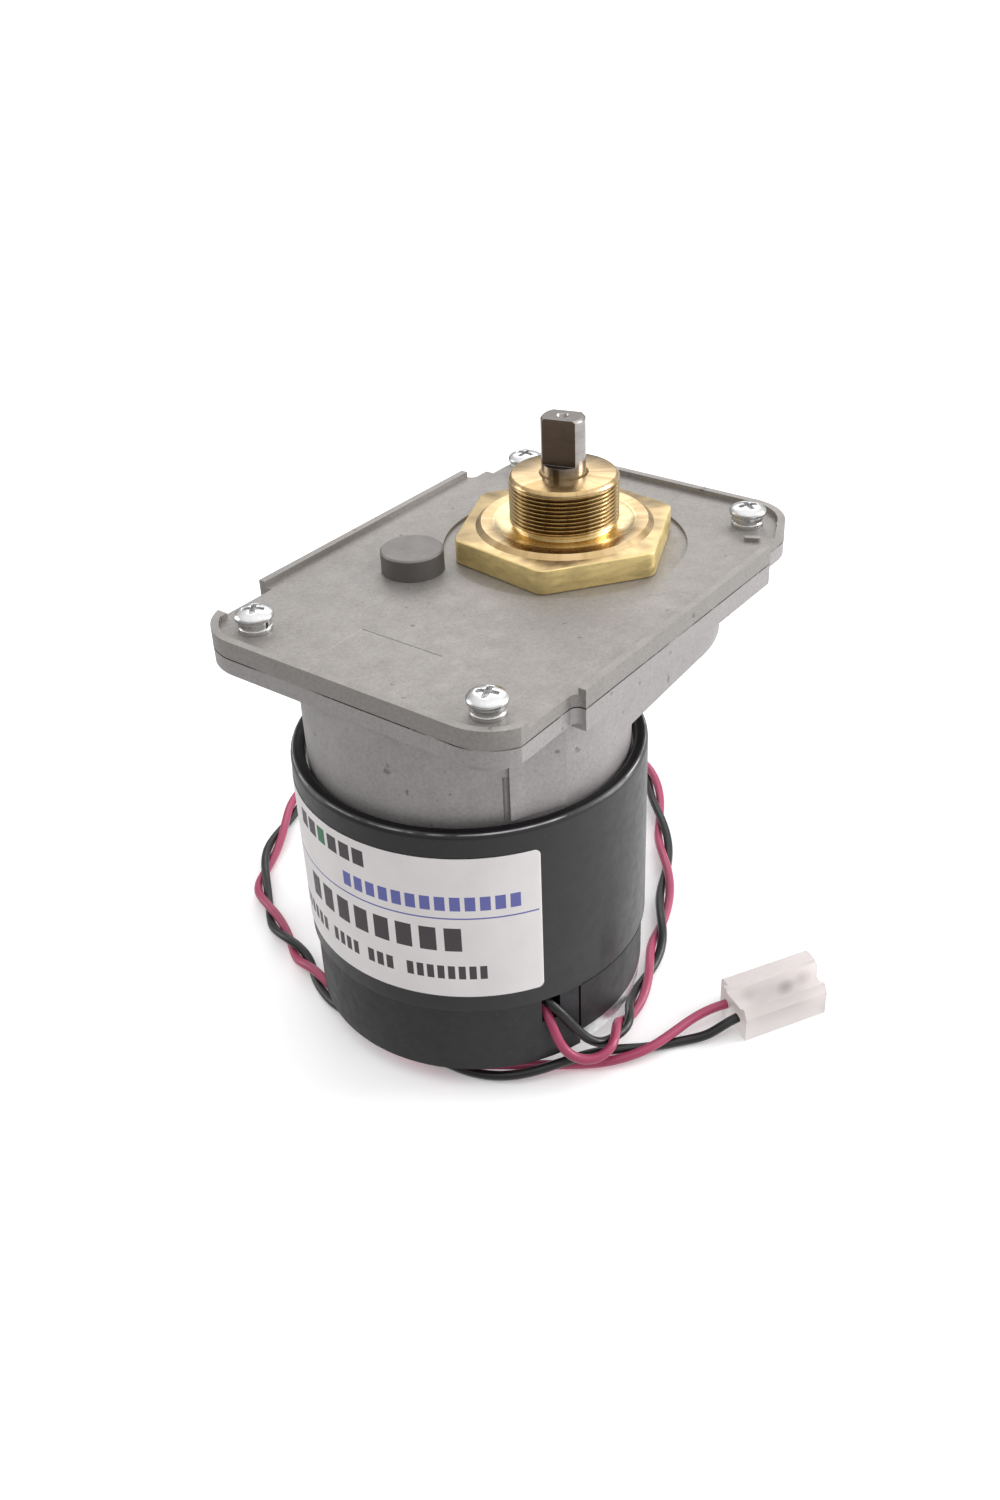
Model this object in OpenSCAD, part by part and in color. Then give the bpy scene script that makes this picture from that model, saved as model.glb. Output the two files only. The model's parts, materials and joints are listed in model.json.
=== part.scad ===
// Geared DC motor: a brushed motor under an offset spur gearbox, with a threaded brass mounting
// bush, a double-D output shaft and two twisted leads that end in a plug.
// The origin is on the motor axis, on the resting face of the rear boss. +Z runs up the axes and
// +X points from the motor axis to the output shaft. Millimetres.

/* [Motor] */
// Outside diameter of the motor tube
can_d = 63; // [62:0.5:64]
// Wall of the motor tube
can_wall = 2.5; // [2:0.1:3]
// Lower edge of the motor tube above the resting face
can_low = 18.6; // [18:0.1:19]
// Upper rim of the motor tube
can_high = 56.4; // [56:0.1:57]
// Diameter of the black rear cover
rear_d = 61.8; // [61:0.1:62]
// Height of the rear boss that the motor stands on
boss_h = 4; // [3.5:0.5:5]
// Diameter of the rear boss
boss_d = 34; // [28:1:38]
// Diameter of the motor shaft
rotor_shaft_d = 5; // [4:0.5:5]

/* [Gearbox] */
// Left edge of the gearbox, behind the motor axis
box_left = -28.8; // [-30:0.1:-28]
// Right edge of the gearbox, past the output shaft
box_right = 67.1; // [66:0.1:69]
// Front edge of the gearbox at its corners
box_front = -29.3; // [-30:0.1:-29]
// Back edge of the gearbox at its corners
box_back = 35.2; // [34.5:0.1:36]
// How far the middle of the front side stands proud
proud = 2.1; // [1:0.1:2.5]
// Corner radius of the gearbox
corner_r = 10; // [8:0.5:11]
// Height of the joint between housing and cover
parting = 76; // [76:0.5:77]
// Thickness of the cover plate
cover_t = 2.3; // [2:0.1:3]
// Height of the lip that runs along the cover's edge
lip_h = 1.1; // [0.5:0.1:1.5]
// Width of that lip
lip_w = 1.4; // [1:0.1:2]
// Diameter of the neck that drops into the motor tube
neck_d = 57.2; // [56:0.1:57.2]
// Underside of the gearcase
gearcase_low = 62.3; // [62:0.1:62.5]

/* [Output] */
// Diameter of the output shaft
shaft_d = 8; // [7:0.5:8]
// Top of the output shaft
shaft_top = 102.5; // [98:0.1:110]
// Length of the two flats
flat_len = 8.5; // [6:0.5:9]
// Width across the two flats
flat_af = 5; // [4.5:0.5:6]
// Outside diameter of the threaded barrel
thread_d = 20; // [18:0.5:22]
// Top of the threaded barrel
barrel_top = 92; // [89:0.5:92.5]
// Width across the flats of the brass hexagon
hex_af = 36.5; // [34:0.5:38]

/* [Leads] */
// Diameter of one insulated lead
lead_d = 1.8; // [1.4:0.1:2]
// Diameter of the two leads twisted together
pair_d = 3.8; // [3:0.1:4]
// Length, width and height of the plug
plug_size = [19.5, 10.5, 6.7];

/* [Hidden] */
$fn = 96;
fit_gap = 0.04;
tiny = 0.01;

// Places of the four axes, seen from above
motor_axis = [0, 0];
output_axis = [34, 2.5];
// Each pair is [teeth, module]
motor_pinion_gear = [15, 0.5];
first_wheel_gear = [45, 0.5];
first_pinion_gear = [12, 0.5];
second_wheel_gear = [60, 0.5];
second_pinion_gear = [12, 1];
output_wheel_gear = [46, 1];
first_pinion_reach = mesh_distance(first_pinion_gear, second_wheel_gear);
motor_reach = mesh_distance(motor_pinion_gear, first_wheel_gear);
output_reach = mesh_distance(second_pinion_gear, output_wheel_gear);
second_axis = output_axis + output_reach * heading(144.9);
second_dist = norm(second_axis);
along = (motor_reach ^ 2 - first_pinion_reach ^ 2 + second_dist ^ 2) / (2 * second_dist);
aside = sqrt(motor_reach ^ 2 - along ^ 2);
second_dir = second_axis / second_dist;
first_axis = along * second_dir + aside * [second_dir[1], -second_dir[0]];

// Heights inside the gearbox
floor_t = 2;
floor_top = gearcase_low + floor_t;
layer_a = floor_top + 0.9;
layer_b = layer_a + 3.8;
layer_c = layer_b + 3.2;
wheel_t = 3;
output_wheel_t = 3.2;
gear_bottom_gap = 0.6;
cover_top = parting + cover_t;
lip_top = cover_top + lip_h;
pin_low = gearcase_low + 0.6;
first_pin_r = 1.5;
second_pin_r = 2;
second_hub_r = 4.4;
output_bearing_r = 5.6;
output_bearing_top = floor_top + 3.6;

// Heights inside the motor
can_r = can_d / 2;
bore_r = can_r - can_wall;
rear_r = rear_d / 2;
rear_inner_r = rear_r - 2;
rear_plate_top = boss_h + 3.2;
front_plate_low = 50;
front_plate_top = 54;
front_bearing_low = 54.6;
bearing_r = 8;
bearing_t = 5;
rear_bearing_low = 1.8;
shaft_low = 1.4;
neck_r = neck_d / 2;
armature_low = 24;
armature_high = 44;
armature_r = 22.8;
magnet_inner_r = 23.4;
magnet_outer_r = bore_r;
commutator_r = 8;
commutator_low = 11.5;
commutator_high = 18.2;
brush_low = 12.6;
brush_t = 4;
card_low = 9.6;
card_t = 1.4;
tie_screws_at = [[-18, -7], [17, -10]];

// The seam in the rear cover, the notch that shows the rear plate, and the window for the leads
seam_angle = -107.5;
notch_end = -45;
window_angle = -119.5;

// Label: a band of the tube from label_end round to label_start
label_t = 0.15;
label_low = 22.1;
label_high = 51.7;
label_start = -239.5;
label_end = -121.4;

// Gearbox top
recess_r = 22.5;
recess_depth = 0.6;
seat = cover_top - recess_depth;
hex_turn = 23;
hex_top = 82.3;
ring_top = 83.1;
barrel_r = thread_d / 2;
pin_boss_d = 11.4;
pin_boss_top = cover_top + 4.1;
cover_screws = [
    [box_left + 7.2, box_front + 7.5], [box_right - 8.7, box_front + 7.3],
    [box_right - 9.3, box_back - 6.6], [box_left + 7.3, box_back - 8]
];
proud_from = -9.6;
proud_to = 50;
// The back pad ends short of the front one, and past relief_from the back corner steps in
back_pad_to = 48.8;
back_pad_y = box_back + 2.9;
relief_from = 53.2;
relief_back = box_back - 1.8;
// How far the left corners bulge past the sides
corner_bulge = 1.2;
pad_fillet = 1.5;
// Where the corner's lip tapers out, towards the front pad
lip_taper = 55.6;
washer_t = 2.1;
washer_r = 2.95;
washer_groove = 0.9;
screw_head_r = 3.4;
corner_boss_r = 5.2;
corner_boss_low = parting - 4.8;
pad_from = -128.9;
pad_to = -109;
nub_at = [52.4, -26.35];
nub_turn = 25.6;
nub_w = 1.1;
nub_len = 2;
nub_h = 0.8;
shaft_chamfer = 0.4;
screw_head_h = 1.75;
screw_r = 1.75;
screw_hole_r = 1.85;
screw_depth = 2.6;

// The plug lies on the resting plane, with its lead end at plug_corner
plug_corner = [11.5, -52];
plug_angle = -30;
plug_lead_z = 3.4;
red_lead_v = 7;
black_lead_v = 3;

// Lead routes, from the motor to the plug
red_exit_route = [
    [-14.1, -24.9, 14.6], [-15, -26.6, 13.6], [-15.6, -28.2, 11.6], [-15.6, -29.4, 9],
    [-15.1, -31, 6.8], [-13.6, -33.2, 5.4], [-11.2, -35.2, 5.3], [-8, -35.8, 6.2], [-5, -34.5, 6.6]
];
black_exit_route = [
    [-14.1, -24.9, 17], [-14.4, -26.5, 16.2], [-13.9, -28.1, 14.8], [-13, -29.5, 12.4],
    [-11.8, -30.9, 9.6], [-10.4, -32.3, 7.2], [-8.1, -33.7, 5.4], [-5, -34.5, 4.6]
];
pair_route = [
    [-5, -34.5, 5.6], [-1, -33.4, 4.6], [4, -31.9, 3], [10.5, -30, 2], [19, -27.4, 2],
    [27.5, -23.9, 2], [36, -19.8, 2], [43, -16, 2], [51, -10.8, 2], [60, -4, 2],
    [69, 2.8, 2], [76, 9.5, 2], [81, 19, 2], [82, 31, 2], [79, 43, 2],
    [72, 54, 2], [62, 63, 2], [50, 70, 2], [38, 73, 2], [28, 72, 2],
    [19, 68.4, 2], [12, 65.2, 2], [4.5, 61.4, 2], [-2, 57.6, 2], [-7.5, 53.2, 2],
    [-12, 47, 2], [-15.6, 40, 2], [-18, 34, 2], [-20.5, 27.5, 2], [-23.4, 20, 2],
    [-25.4, 12, 2], [-26.2, 4, 2], [-26.4, -4, 2], [-25.6, -11, 2], [-23.2, -17.4, 2],
    [-19.6, -22.8, 2], [-14.8, -27.6, 2], [-9.6, -32.4, 2], [-5, -36.6, 2], [-1, -39.6, 2],
    [2.5, -41.4, 2]
];
red_plug_route = [[2.5, -41.4, 3], [6, -42, 3], [10, -43.2, 3.2], [13, -44.6, 3.5], plug_point(red_lead_v)];
black_plug_route = [[2.5, -41.4, 1], [5.4, -44, 1], [8, -46.6, 1.8], [10.6, -48.4, 3], plug_point(black_lead_v)];

// ---- Geometry helpers ----

function heading(a) = [cos(a), sin(a)];
function direction(from, to) = atan2(to[1] - from[1], to[0] - from[0]);
function mesh_distance(g, h) = (g[0] * g[1] + h[0] * h[1]) / 2;

// Point of the plug's lead end at a distance v across it
function plug_point(v) = [
    plug_corner[0] - v * sin(plug_angle), plug_corner[1] + v * cos(plug_angle), plug_lead_z
];

// Involute of an angle, in degrees
function inv(a) = tan(a) * 180 / PI - a;

// Half the angle that a tooth takes at radius r
function tooth_half(n, m, backlash, r) =
    90 / n - 90 * backlash / (PI * n * m) + inv(20) - inv(acos(min(1, n * m / 2 * cos(20) / r)));

// Outline of a spur gear of n teeth and module m, with a tooth centred on angle turn
function gear_points(n, m, turn, backlash, addendum) =
    let (
        pitch_r = n * m / 2,
        base_r = pitch_r * cos(20),
        root_r = pitch_r - 1.25 * m,
        tip_r = pitch_r + addendum * m,
        low_r = max(base_r, root_r + 0.02 * m),
        steps = 3,
        flank = [for (i = [0:steps]) low_r + (tip_r - low_r) * i / steps]
    )
    [for (k = [0:n - 1]) let (mid = turn + k * 360 / n) each concat(
        [root_r * heading(mid - tooth_half(n, m, backlash, low_r))],
        [for (r = flank) r * heading(mid - tooth_half(n, m, backlash, r))],
        [for (i = [steps:-1:0]) flank[i] * heading(mid + tooth_half(n, m, backlash, flank[i]))],
        [root_r * heading(mid + tooth_half(n, m, backlash, low_r))]
    )];

module spur(gear, turn, height, backlash, addendum) {
    linear_extrude(height) polygon(gear_points(gear[0], gear[1], turn, backlash, addendum));
}

module at(place, z = 0) {
    translate([place[0], place[1], z]) children();
}

module tube(r_out, r_in, low, high) {
    difference() {
        translate([0, 0, low]) cylinder(r = r_out, h = high - low);
        translate([0, 0, low - 1]) cylinder(r = r_in, h = high - low + 2);
    }
}

// Part of a ring between two angles
module arc_block(r_in, r_out, low, high, from, to) {
    rotate([0, 0, from]) translate([0, 0, low])
        rotate_extrude(angle = to - from) translate([r_in, 0]) square([r_out - r_in, high - low]);
}

// Quadrilateral between two circles, given as [centre, radius], a hair inside their common tangents
module bridge(a, b) {
    d = norm(b[0] - a[0]);
    axis = direction(a[0], b[0]);
    lean = acos((a[1] - b[1]) / d);
    inside = 0.998;
    polygon([
        a[0] + inside * a[1] * heading(axis + lean), a[0] + inside * a[1] * heading(axis - lean),
        b[0] + inside * b[1] * heading(axis - lean), b[0] + inside * b[1] * heading(axis + lean)
    ]);
}

// Band that wraps a ring of circles, each given as [centre, radius]
module wrap(discs) {
    for (d = discs) at(d[0]) circle(r = d[1]);
    for (i = [0:len(discs) - 1]) bridge(discs[i], discs[(i + 1) % len(discs)]);
    polygon([for (d = discs) d[0]]);
}

// Rounded tube swept along a route, closed at both ends
module swept(route, d, sides = 8) {
    last = len(route) - 1;
    ahead = [for (i = [0:last]) route[min(i + 1, last)] - route[max(i - 1, 0)]];
    rings = [for (i = [0:last])
        let (t = ahead[i] / norm(ahead[i]), s = cross([0, 0, 1], t), side = s / norm(s), up = cross(t, side))
        for (k = [0:sides - 1]) let (a = (k + 0.5) * 360 / sides)
            route[i] + d / 2 * (cos(a) * side + sin(a) * up)];
    skin = [for (i = [0:last - 1], k = [0:sides - 1])
        let (n = (k + 1) % sides)
        [i * sides + k, (i + 1) * sides + k, (i + 1) * sides + n, i * sides + n]];
    caps = [[for (k = [0:sides - 1]) k], [for (k = [sides - 1:-1:0]) last * sides + k]];
    polyhedron(points = rings, faces = concat(skin, caps), convexity = 10);
}

// ---- Gearbox ----

// Rounded rectangle made of two rectangles and four corner discs
module rounded_rect(x0, y0, x1, y1, r) {
    translate([x0 + r, y0]) square([x1 - x0 - 2 * r, y1 - y0]);
    translate([x0, y0 + r]) square([x1 - x0, y1 - y0 - 2 * r]);
    for (x = [x0 + r, x1 - r], y = [y0 + r, y1 - r]) translate([x, y]) circle(r = r);
}

// Outline of housing flange and cover, smaller by inset all round
module box_outline(inset = 0) {
    left_end = cover_screws[0][0] - inset;
    middle = (box_left + box_right) / 2;
    intersection() {
        rounded_rect(
            box_left + inset, box_front - corner_bulge + inset,
            box_right, box_back + corner_bulge - inset, corner_r - inset
        );
        union() {
            translate([box_left, box_front + inset]) square([middle - box_left, box_back - box_front - 2 * inset]);
            translate([box_left, 0]) square([left_end - box_left, box_back + corner_bulge]);
        }
    }
    rounded_rect(0, box_front + inset, box_right - inset, relief_back - inset, corner_r - inset);
    translate([0, relief_back - corner_r]) square([relief_from - inset, box_back - inset - relief_back + corner_r]);
    translate([proud_from + inset, box_front - proud + inset])
        square([proud_to - proud_from - 2 * inset, 2 * proud]);
    translate([proud_from + inset, box_back - 2 * proud])
        square([back_pad_to - proud_from - 2 * inset, back_pad_y - box_back + 2 * proud - inset]);
}

// Fillets at the left foot of the front pad and the right foot of the back one
module pad_fillets() {
    for (foot = [[proud_from, box_front, 180], [back_pad_to, box_back, 0]])
        translate([foot[0], foot[1]]) rotate([0, 0, foot[2]]) difference() {
            translate([-0.1, -0.1]) square([pad_fillet + 0.1, pad_fillet + 0.1]);
            translate([pad_fillet, pad_fillet]) circle(r = pad_fillet);
        }
}

gearcase = [[motor_axis, neck_r], [output_axis, 29], [second_axis, 17.6]];

module gearbox_housing() {
    color([0.64, 0.63, 0.62]) difference() {
        union() {
            translate([0, 0, gearcase_low]) linear_extrude(parting - gearcase_low) wrap(gearcase);
            translate([0, 0, parting - 3]) linear_extrude(3) box_outline();
            translate([0, 0, parting - 3]) linear_extrude(3) pad_fillets();
            translate([0, 0, parting - 4]) linear_extrude(4) intersection() {
                box_outline();
                translate([proud_from, box_front - proud])
                    square([proud_to - proud_from, box_back - box_front + 2 * proud + 1]);
            }
            tube(neck_r, neck_r - 2.6, front_plate_top, gearcase_low);
            for (p = tie_screws_at) at(p, front_plate_top) cylinder(r = 4.4, h = gearcase_low - front_plate_top);
            translate([0, 0, corner_boss_low]) linear_extrude(parting - corner_boss_low) intersection() {
                box_outline();
                for (p = cover_screws) at(p) circle(r = corner_boss_r);
            }
            neck_pad();
        }
        rotate([0, 0, pad_from - 1]) translate([neck_r, 0, can_high]) cylinder(r = 0.5, h = 8.4);
        gear_space();
        translate([0, 0, gearcase_low - 1]) cylinder(r = 5.4, h = floor_t + 2);
        at(output_axis, pin_low) cylinder(r = output_bearing_r, h = output_bearing_top - pin_low + 1);
        at(first_axis, pin_low) cylinder(r = first_pin_r, h = 4);
        at(second_axis, pin_low) cylinder(r = second_pin_r, h = 8);
        for (p = tie_screws_at) at(p, front_plate_top - 1) cylinder(r = screw_hole_r, h = 12);
        for (p = tie_screws_at) at(p, floor_top - 2.8) cylinder(r = 3.6, h = 4);
        for (p = cover_screws) at(p, parting - screw_depth) cylinder(r = screw_r, h = 5);
    }
}

// Flat pad down the front of the neck, from just above the motor tube to the flange
module neck_pad() {
    translate([0, 0, can_high + 0.2]) linear_extrude(parting - 1 - can_high) polygon([
        26 * heading(pad_from), (neck_r + 0.7) * heading(pad_from),
        (neck_r + 0.5) * heading(pad_to), 26 * heading(pad_to)
    ]);
}

// Space for the gears, less the bosses that carry the pins and the lower bearing
module gear_space() {
    difference() {
        translate([0, 0, floor_top]) linear_extrude(parting - floor_top + 1)
            wrap([[motor_axis, neck_r - 3.4], [output_axis, 25.4], [second_axis, 16.1]]);
        at(output_axis, floor_top - 1) cylinder(r = output_bearing_r + 0.9, h = output_bearing_top - floor_top + 1);
        at(first_axis, floor_top - 1) cylinder(r = 3.2, h = 1 + layer_a - floor_top - 0.1);
        at(second_axis, floor_top - 1) cylinder(r = 4.2, h = 1 + layer_b - floor_top - 0.8);
    }
}

// Stretches of the cover's edge that carry the lip
module lip_zones() {
    left_from = cover_screws[0][0];
    right_to = cover_screws[1][0];
    translate([box_left - 1, box_front - 3]) square([left_from - box_left + 1, 80]);
    polygon([
        [lip_taper, box_front - 1], [lip_taper, box_front], [right_to + 0.5, box_front + lip_w],
        [right_to + 0.5, box_back + 3], [box_right + 1, box_back + 3], [box_right + 1, box_front - 1]
    ]);
    translate([proud_from, box_front - 3]) square([proud_to - proud_from, 80]);
}

// The lip in plan; on the two pads it is straight, with no return at their ends
module lip_plan() {
    intersection() {
        lip_zones();
        difference() {
            box_outline();
            box_outline(lip_w);
            translate([proud_from - 1, box_front - proud + lip_w]) square([proud_to - proud_from + 2, 20]);
            translate([proud_from - 1, back_pad_y - lip_w - 20]) square([proud_to - proud_from + 2, 20]);
        }
    }
}

module gearbox_cover() {
    color([0.68, 0.67, 0.65]) difference() {
        union() {
            translate([0, 0, parting]) linear_extrude(cover_t) box_outline();
            translate([0, 0, parting]) linear_extrude(cover_t) pad_fillets();
            translate([0, 0, cover_top - tiny]) linear_extrude(lip_h + tiny) lip_plan();
            at(second_axis, cover_top - tiny) cylinder(d = pin_boss_d, h = pin_boss_top - cover_top - 0.3 + tiny);
            at(second_axis, pin_boss_top - 0.3) cylinder(d1 = pin_boss_d, d2 = pin_boss_d - 0.6, h = 0.3);
            at(nub_at, cover_top - tiny) rotate([0, 0, nub_turn]) {
                translate([-nub_w / 2, -nub_len / 2, 0]) cube([nub_w, nub_len, nub_h]);
                for (y = [-nub_len / 2, nub_len / 2]) translate([0, y, 0]) cylinder(d = nub_w, h = nub_h);
            }
        }
        at(output_axis, seat) cylinder(r = recess_r, h = 3);
        at(output_axis, parting - 1) cylinder(r = barrel_r - 1.5, h = 5);
        at(second_axis, parting - 1) cylinder(r = second_pin_r, h = pin_boss_top - parting);
        for (p = cover_screws) at(p, parting - 1) cylinder(r = screw_hole_r, h = 5);
    }
}

// Pan head with a cross recess, standing on z = 0, and its shank below
module pan_screw(shank) {
    difference() {
        union() {
            rotate_extrude() polygon([
                [0, 0], [screw_head_r - 0.25, 0], [screw_head_r, 0.3], [screw_head_r, 0.8],
                [screw_head_r * 0.9, screw_head_h * 0.68], [screw_head_r * 0.66, screw_head_h * 0.9],
                [screw_head_r * 0.35, screw_head_h], [0, screw_head_h]
            ]);
            translate([0, 0, -shank]) cylinder(r = screw_r, h = shank + tiny);
        }
        for (a = [0, 90]) rotate([0, 0, a]) translate([-1.8, -0.45, screw_head_h - 1]) cube([3.6, 0.9, 2]);
    }
}

module cover_screws() {
    shank = cover_top + washer_t - parting + screw_depth - 0.1;
    color([0.75, 0.76, 0.77])
        for (i = [0:3]) at(cover_screws[i], cover_top + washer_t) rotate([0, 0, 20 + 35 * i]) pan_screw(shank);
}

// A split washer over a flat one, with a groove where they meet
module lock_washers() {
    color([0.72, 0.73, 0.74])
        for (i = [0:3]) at(cover_screws[i], cover_top) rotate([0, 0, 60 + 70 * i]) difference() {
            rotate_extrude() polygon([
                [screw_hole_r, 0], [washer_r, 0], [washer_r, washer_groove - 0.15],
                [washer_r - 0.3, washer_groove], [washer_r - 0.05, washer_groove + 0.15],
                [washer_r - 0.05, washer_t], [screw_hole_r, washer_t]
            ]);
            translate([0, -0.3, washer_groove]) cube([5, 0.6, 3]);
        }
}

// Brass bush: spigot in the cover, hexagon, turned ring, relief and threaded barrel
module mounting_bush() {
    spigot_r = barrel_r - 1.5;
    relief_r = barrel_r - 0.6;
    color([0.80, 0.65, 0.36]) at(output_axis) difference() {
        union() {
            translate([0, 0, seat]) intersection() {
                rotate([0, 0, hex_turn]) cylinder(d = hex_af / cos(30), h = hex_top - seat, $fn = 6);
                cylinder(d = hex_af / cos(30) - 0.9, h = hex_top - seat);
            }
            rotate_extrude() polygon([
                [0, parting], [spigot_r, parting], [spigot_r, seat + 1], [16.4, hex_top - 0.2],
                [16.4, hex_top], [15.4, ring_top], [13, ring_top], [12.2, hex_top + 0.2],
                [relief_r, hex_top + 0.2], [relief_r, hex_top + 0.8], [barrel_r, hex_top + 1.2],
                [barrel_r, barrel_top - 0.6], [barrel_r - 0.6, barrel_top], [0, barrel_top]
            ]);
        }
        translate([0, 0, parting - 1]) cylinder(r = shaft_d / 2 + fit_gap, h = 30);
        translate([0, 0, barrel_top - 0.5]) cylinder(r1 = shaft_d / 2 + fit_gap, r2 = shaft_d / 2 + 0.7, h = 0.6);
    }
}

module output_shaft() {
    flats_from = shaft_top - flat_len;
    color([0.80, 0.80, 0.80]) at(output_axis) difference() {
        union() {
            translate([0, 0, pin_low + 0.2]) cylinder(d = shaft_d, h = shaft_top - shaft_chamfer - pin_low - 0.2);
            translate([0, 0, shaft_top - shaft_chamfer])
                cylinder(d1 = shaft_d, d2 = shaft_d - 2 * shaft_chamfer, h = shaft_chamfer);
        }
        for (a = [0, 180]) rotate([0, 0, 195 + a]) translate([flat_af / 2, -10, flats_from]) cube([10, 20, 20]);
        translate([0, 0, shaft_top - 1.6]) cylinder(r1 = 0.5, r2 = 1.2, h = 1.7);
    }
}

module output_wheel() {
    turn = direction(output_axis, second_axis) + 180 / output_wheel_gear[0];
    color([0.55, 0.56, 0.58]) at(output_axis) difference() {
        union() {
            translate([0, 0, layer_c]) spur(output_wheel_gear, turn, output_wheel_t, 0.12, 0.75);
            translate([0, 0, layer_b - 0.2]) cylinder(r = 8.4, h = layer_c - layer_b + 1);
        }
        translate([0, 0, layer_b - 1]) cylinder(d = shaft_d, h = 10);
    }
}

module output_bearing() {
    color([0.62, 0.48, 0.32]) at(output_axis) tube(output_bearing_r, shaft_d / 2 + fit_gap, pin_low, output_bearing_top);
}

module output_washer() {
    color([0.7, 0.7, 0.7]) at(output_axis) tube(7.4, shaft_d / 2, output_bearing_top + 0.1, layer_b - 0.2);
}

module first_pin() {
    color([0.75, 0.75, 0.76]) at(first_axis, pin_low) cylinder(r = first_pin_r, h = layer_c - 0.2 - pin_low);
}

// First reduction: a wheel and its pinion in one piece
module first_cluster() {
    wheel_turn = direction(first_axis, motor_axis);
    pinion_turn = direction(first_axis, second_axis) + 180 / first_pinion_gear[0];
    color([0.84, 0.80, 0.68]) at(first_axis) difference() {
        union() {
            translate([0, 0, layer_a]) spur(first_wheel_gear, wheel_turn, wheel_t, 0.08, 0.9);
            translate([0, 0, layer_a + wheel_t - tiny])
                spur(first_pinion_gear, pinion_turn, layer_c - layer_a - wheel_t - gear_bottom_gap, 0.08, 0.95);
        }
        translate([0, 0, layer_a - 1]) cylinder(r = first_pin_r + fit_gap, h = 12);
    }
}

module second_pin() {
    color([0.75, 0.75, 0.76]) at(second_axis, pin_low) cylinder(r = second_pin_r, h = pin_boss_top - 1 - pin_low);
}

module second_wheel() {
    turn = direction(second_axis, first_axis);
    color([0.58, 0.58, 0.60]) at(second_axis, layer_b) difference() {
        spur(second_wheel_gear, turn, wheel_t - 0.5, 0.08, 0.75);
        translate([0, 0, -1]) cylinder(r = second_hub_r, h = 10);
    }
}

module second_pinion() {
    turn = direction(second_axis, output_axis);
    color([0.62, 0.62, 0.64]) at(second_axis, layer_b) difference() {
        union() {
            cylinder(r = second_hub_r, h = wheel_t - 0.5);
            translate([0, 0, wheel_t - 0.5]) spur(second_pinion_gear, turn, 4, 0.12, 0.95);
        }
        translate([0, 0, -1]) cylinder(r = second_pin_r + fit_gap, h = 10);
    }
}

module second_washers() {
    color([0.72, 0.72, 0.72]) at(second_axis) {
        tube(4, second_pin_r, layer_b - 0.8, layer_b - 0.1);
        tube(4, second_pin_r, layer_b + wheel_t + 3.6, parting);
    }
}

// ---- Motor ----

module motor_tube() {
    rim = 1.2;
    color([0.16, 0.16, 0.17]) rotate_extrude() polygon(concat(
        [[bore_r, can_low], [can_r, can_low]],
        [for (a = [0:15:90]) [can_r - rim + rim * cos(a), can_high - rim + rim * sin(a)]],
        [[bore_r + 0.6, can_high], [bore_r, can_high - 0.6]]
    ));
}

module front_plate() {
    color([0.6, 0.6, 0.6]) difference() {
        union() {
            translate([0, 0, front_plate_low]) cylinder(r = bore_r, h = front_plate_top - front_plate_low);
            translate([0, 0, front_plate_low]) cylinder(r = bearing_r + 2, h = front_bearing_low + bearing_t - front_plate_low);
        }
        translate([0, 0, front_plate_low - 1]) cylinder(r = rotor_shaft_d / 2 + 1.2, h = 20);
        translate([0, 0, front_bearing_low]) cylinder(r = bearing_r, h = 20);
        for (p = tie_screws_at) at(p, front_plate_low + 0.5) cylinder(r = screw_r, h = 10);
    }
}

module tie_screws() {
    head_low = floor_top - 2.8;
    color([0.7, 0.7, 0.72]) for (p = tie_screws_at) at(p, head_low) {
        pan_screw(head_low - front_plate_low - 1);
    }
}

module ball_bearing(low) {
    color([0.7, 0.72, 0.74]) tube(bearing_r, rotor_shaft_d / 2, low, low + bearing_t);
}

module front_bearing() {
    ball_bearing(front_bearing_low);
}

module rear_bearing() {
    ball_bearing(rear_bearing_low);
}

// Black cup that closes the motor below: wall with a seam, a notch and a window for the leads
module rear_cover() {
    groove = 0.45;
    color([0.13, 0.13, 0.14]) difference() {
        union() {
            tube(rear_r, rear_inner_r, boss_h, can_low);
            tube(bore_r, rear_inner_r, can_low - tiny, can_low + 1.2);
        }
        arc_block(rear_inner_r - 1, rear_r + 1, boss_h - 1, rear_plate_top, seam_angle, notch_end);
        rotate([0, 0, seam_angle]) translate([rear_r - 0.7, -groove / 2, rear_plate_top - 1])
            cube([2, groove, can_low - rear_plate_top + 1]);
        arc_block(rear_r - 0.7, rear_r + 1, can_low - groove, can_low, seam_angle, 30);
        rotate([0, 0, window_angle]) translate([rear_inner_r - 1, -1.3, 13]) cube([4, 3.6, 5.2]);
    }
}

module rear_plate() {
    color([0.78, 0.78, 0.79]) difference() {
        union() {
            cylinder(d = boss_d, h = rear_plate_top);
            translate([0, 0, boss_h]) cylinder(r = rear_inner_r, h = rear_plate_top - boss_h);
            arc_block(rear_inner_r - 1, rear_r - 0.2, boss_h, rear_plate_top, seam_angle, notch_end);
            tube(bearing_r + 2, bearing_r, rear_plate_top - tiny, rear_plate_top + 1.2);
        }
        translate([0, 0, rear_bearing_low]) cylinder(r = bearing_r, h = 20);
        translate([0, 0, shaft_low - 0.2]) cylinder(r = rotor_shaft_d / 2 + 0.5, h = 5);
    }
}

module magnet(from) {
    arc_block(magnet_inner_r, magnet_outer_r, can_low + 1.4, front_plate_low - 1, from, from + 130);
}

module magnet_north() {
    color([0.22, 0.22, 0.23]) magnet(-65);
}

module magnet_south() {
    color([0.22, 0.22, 0.23]) magnet(115);
}

module motor_shaft() {
    color([0.78, 0.78, 0.79]) translate([0, 0, shaft_low]) cylinder(d = rotor_shaft_d, h = layer_b - 0.4 - shaft_low);
}

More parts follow.
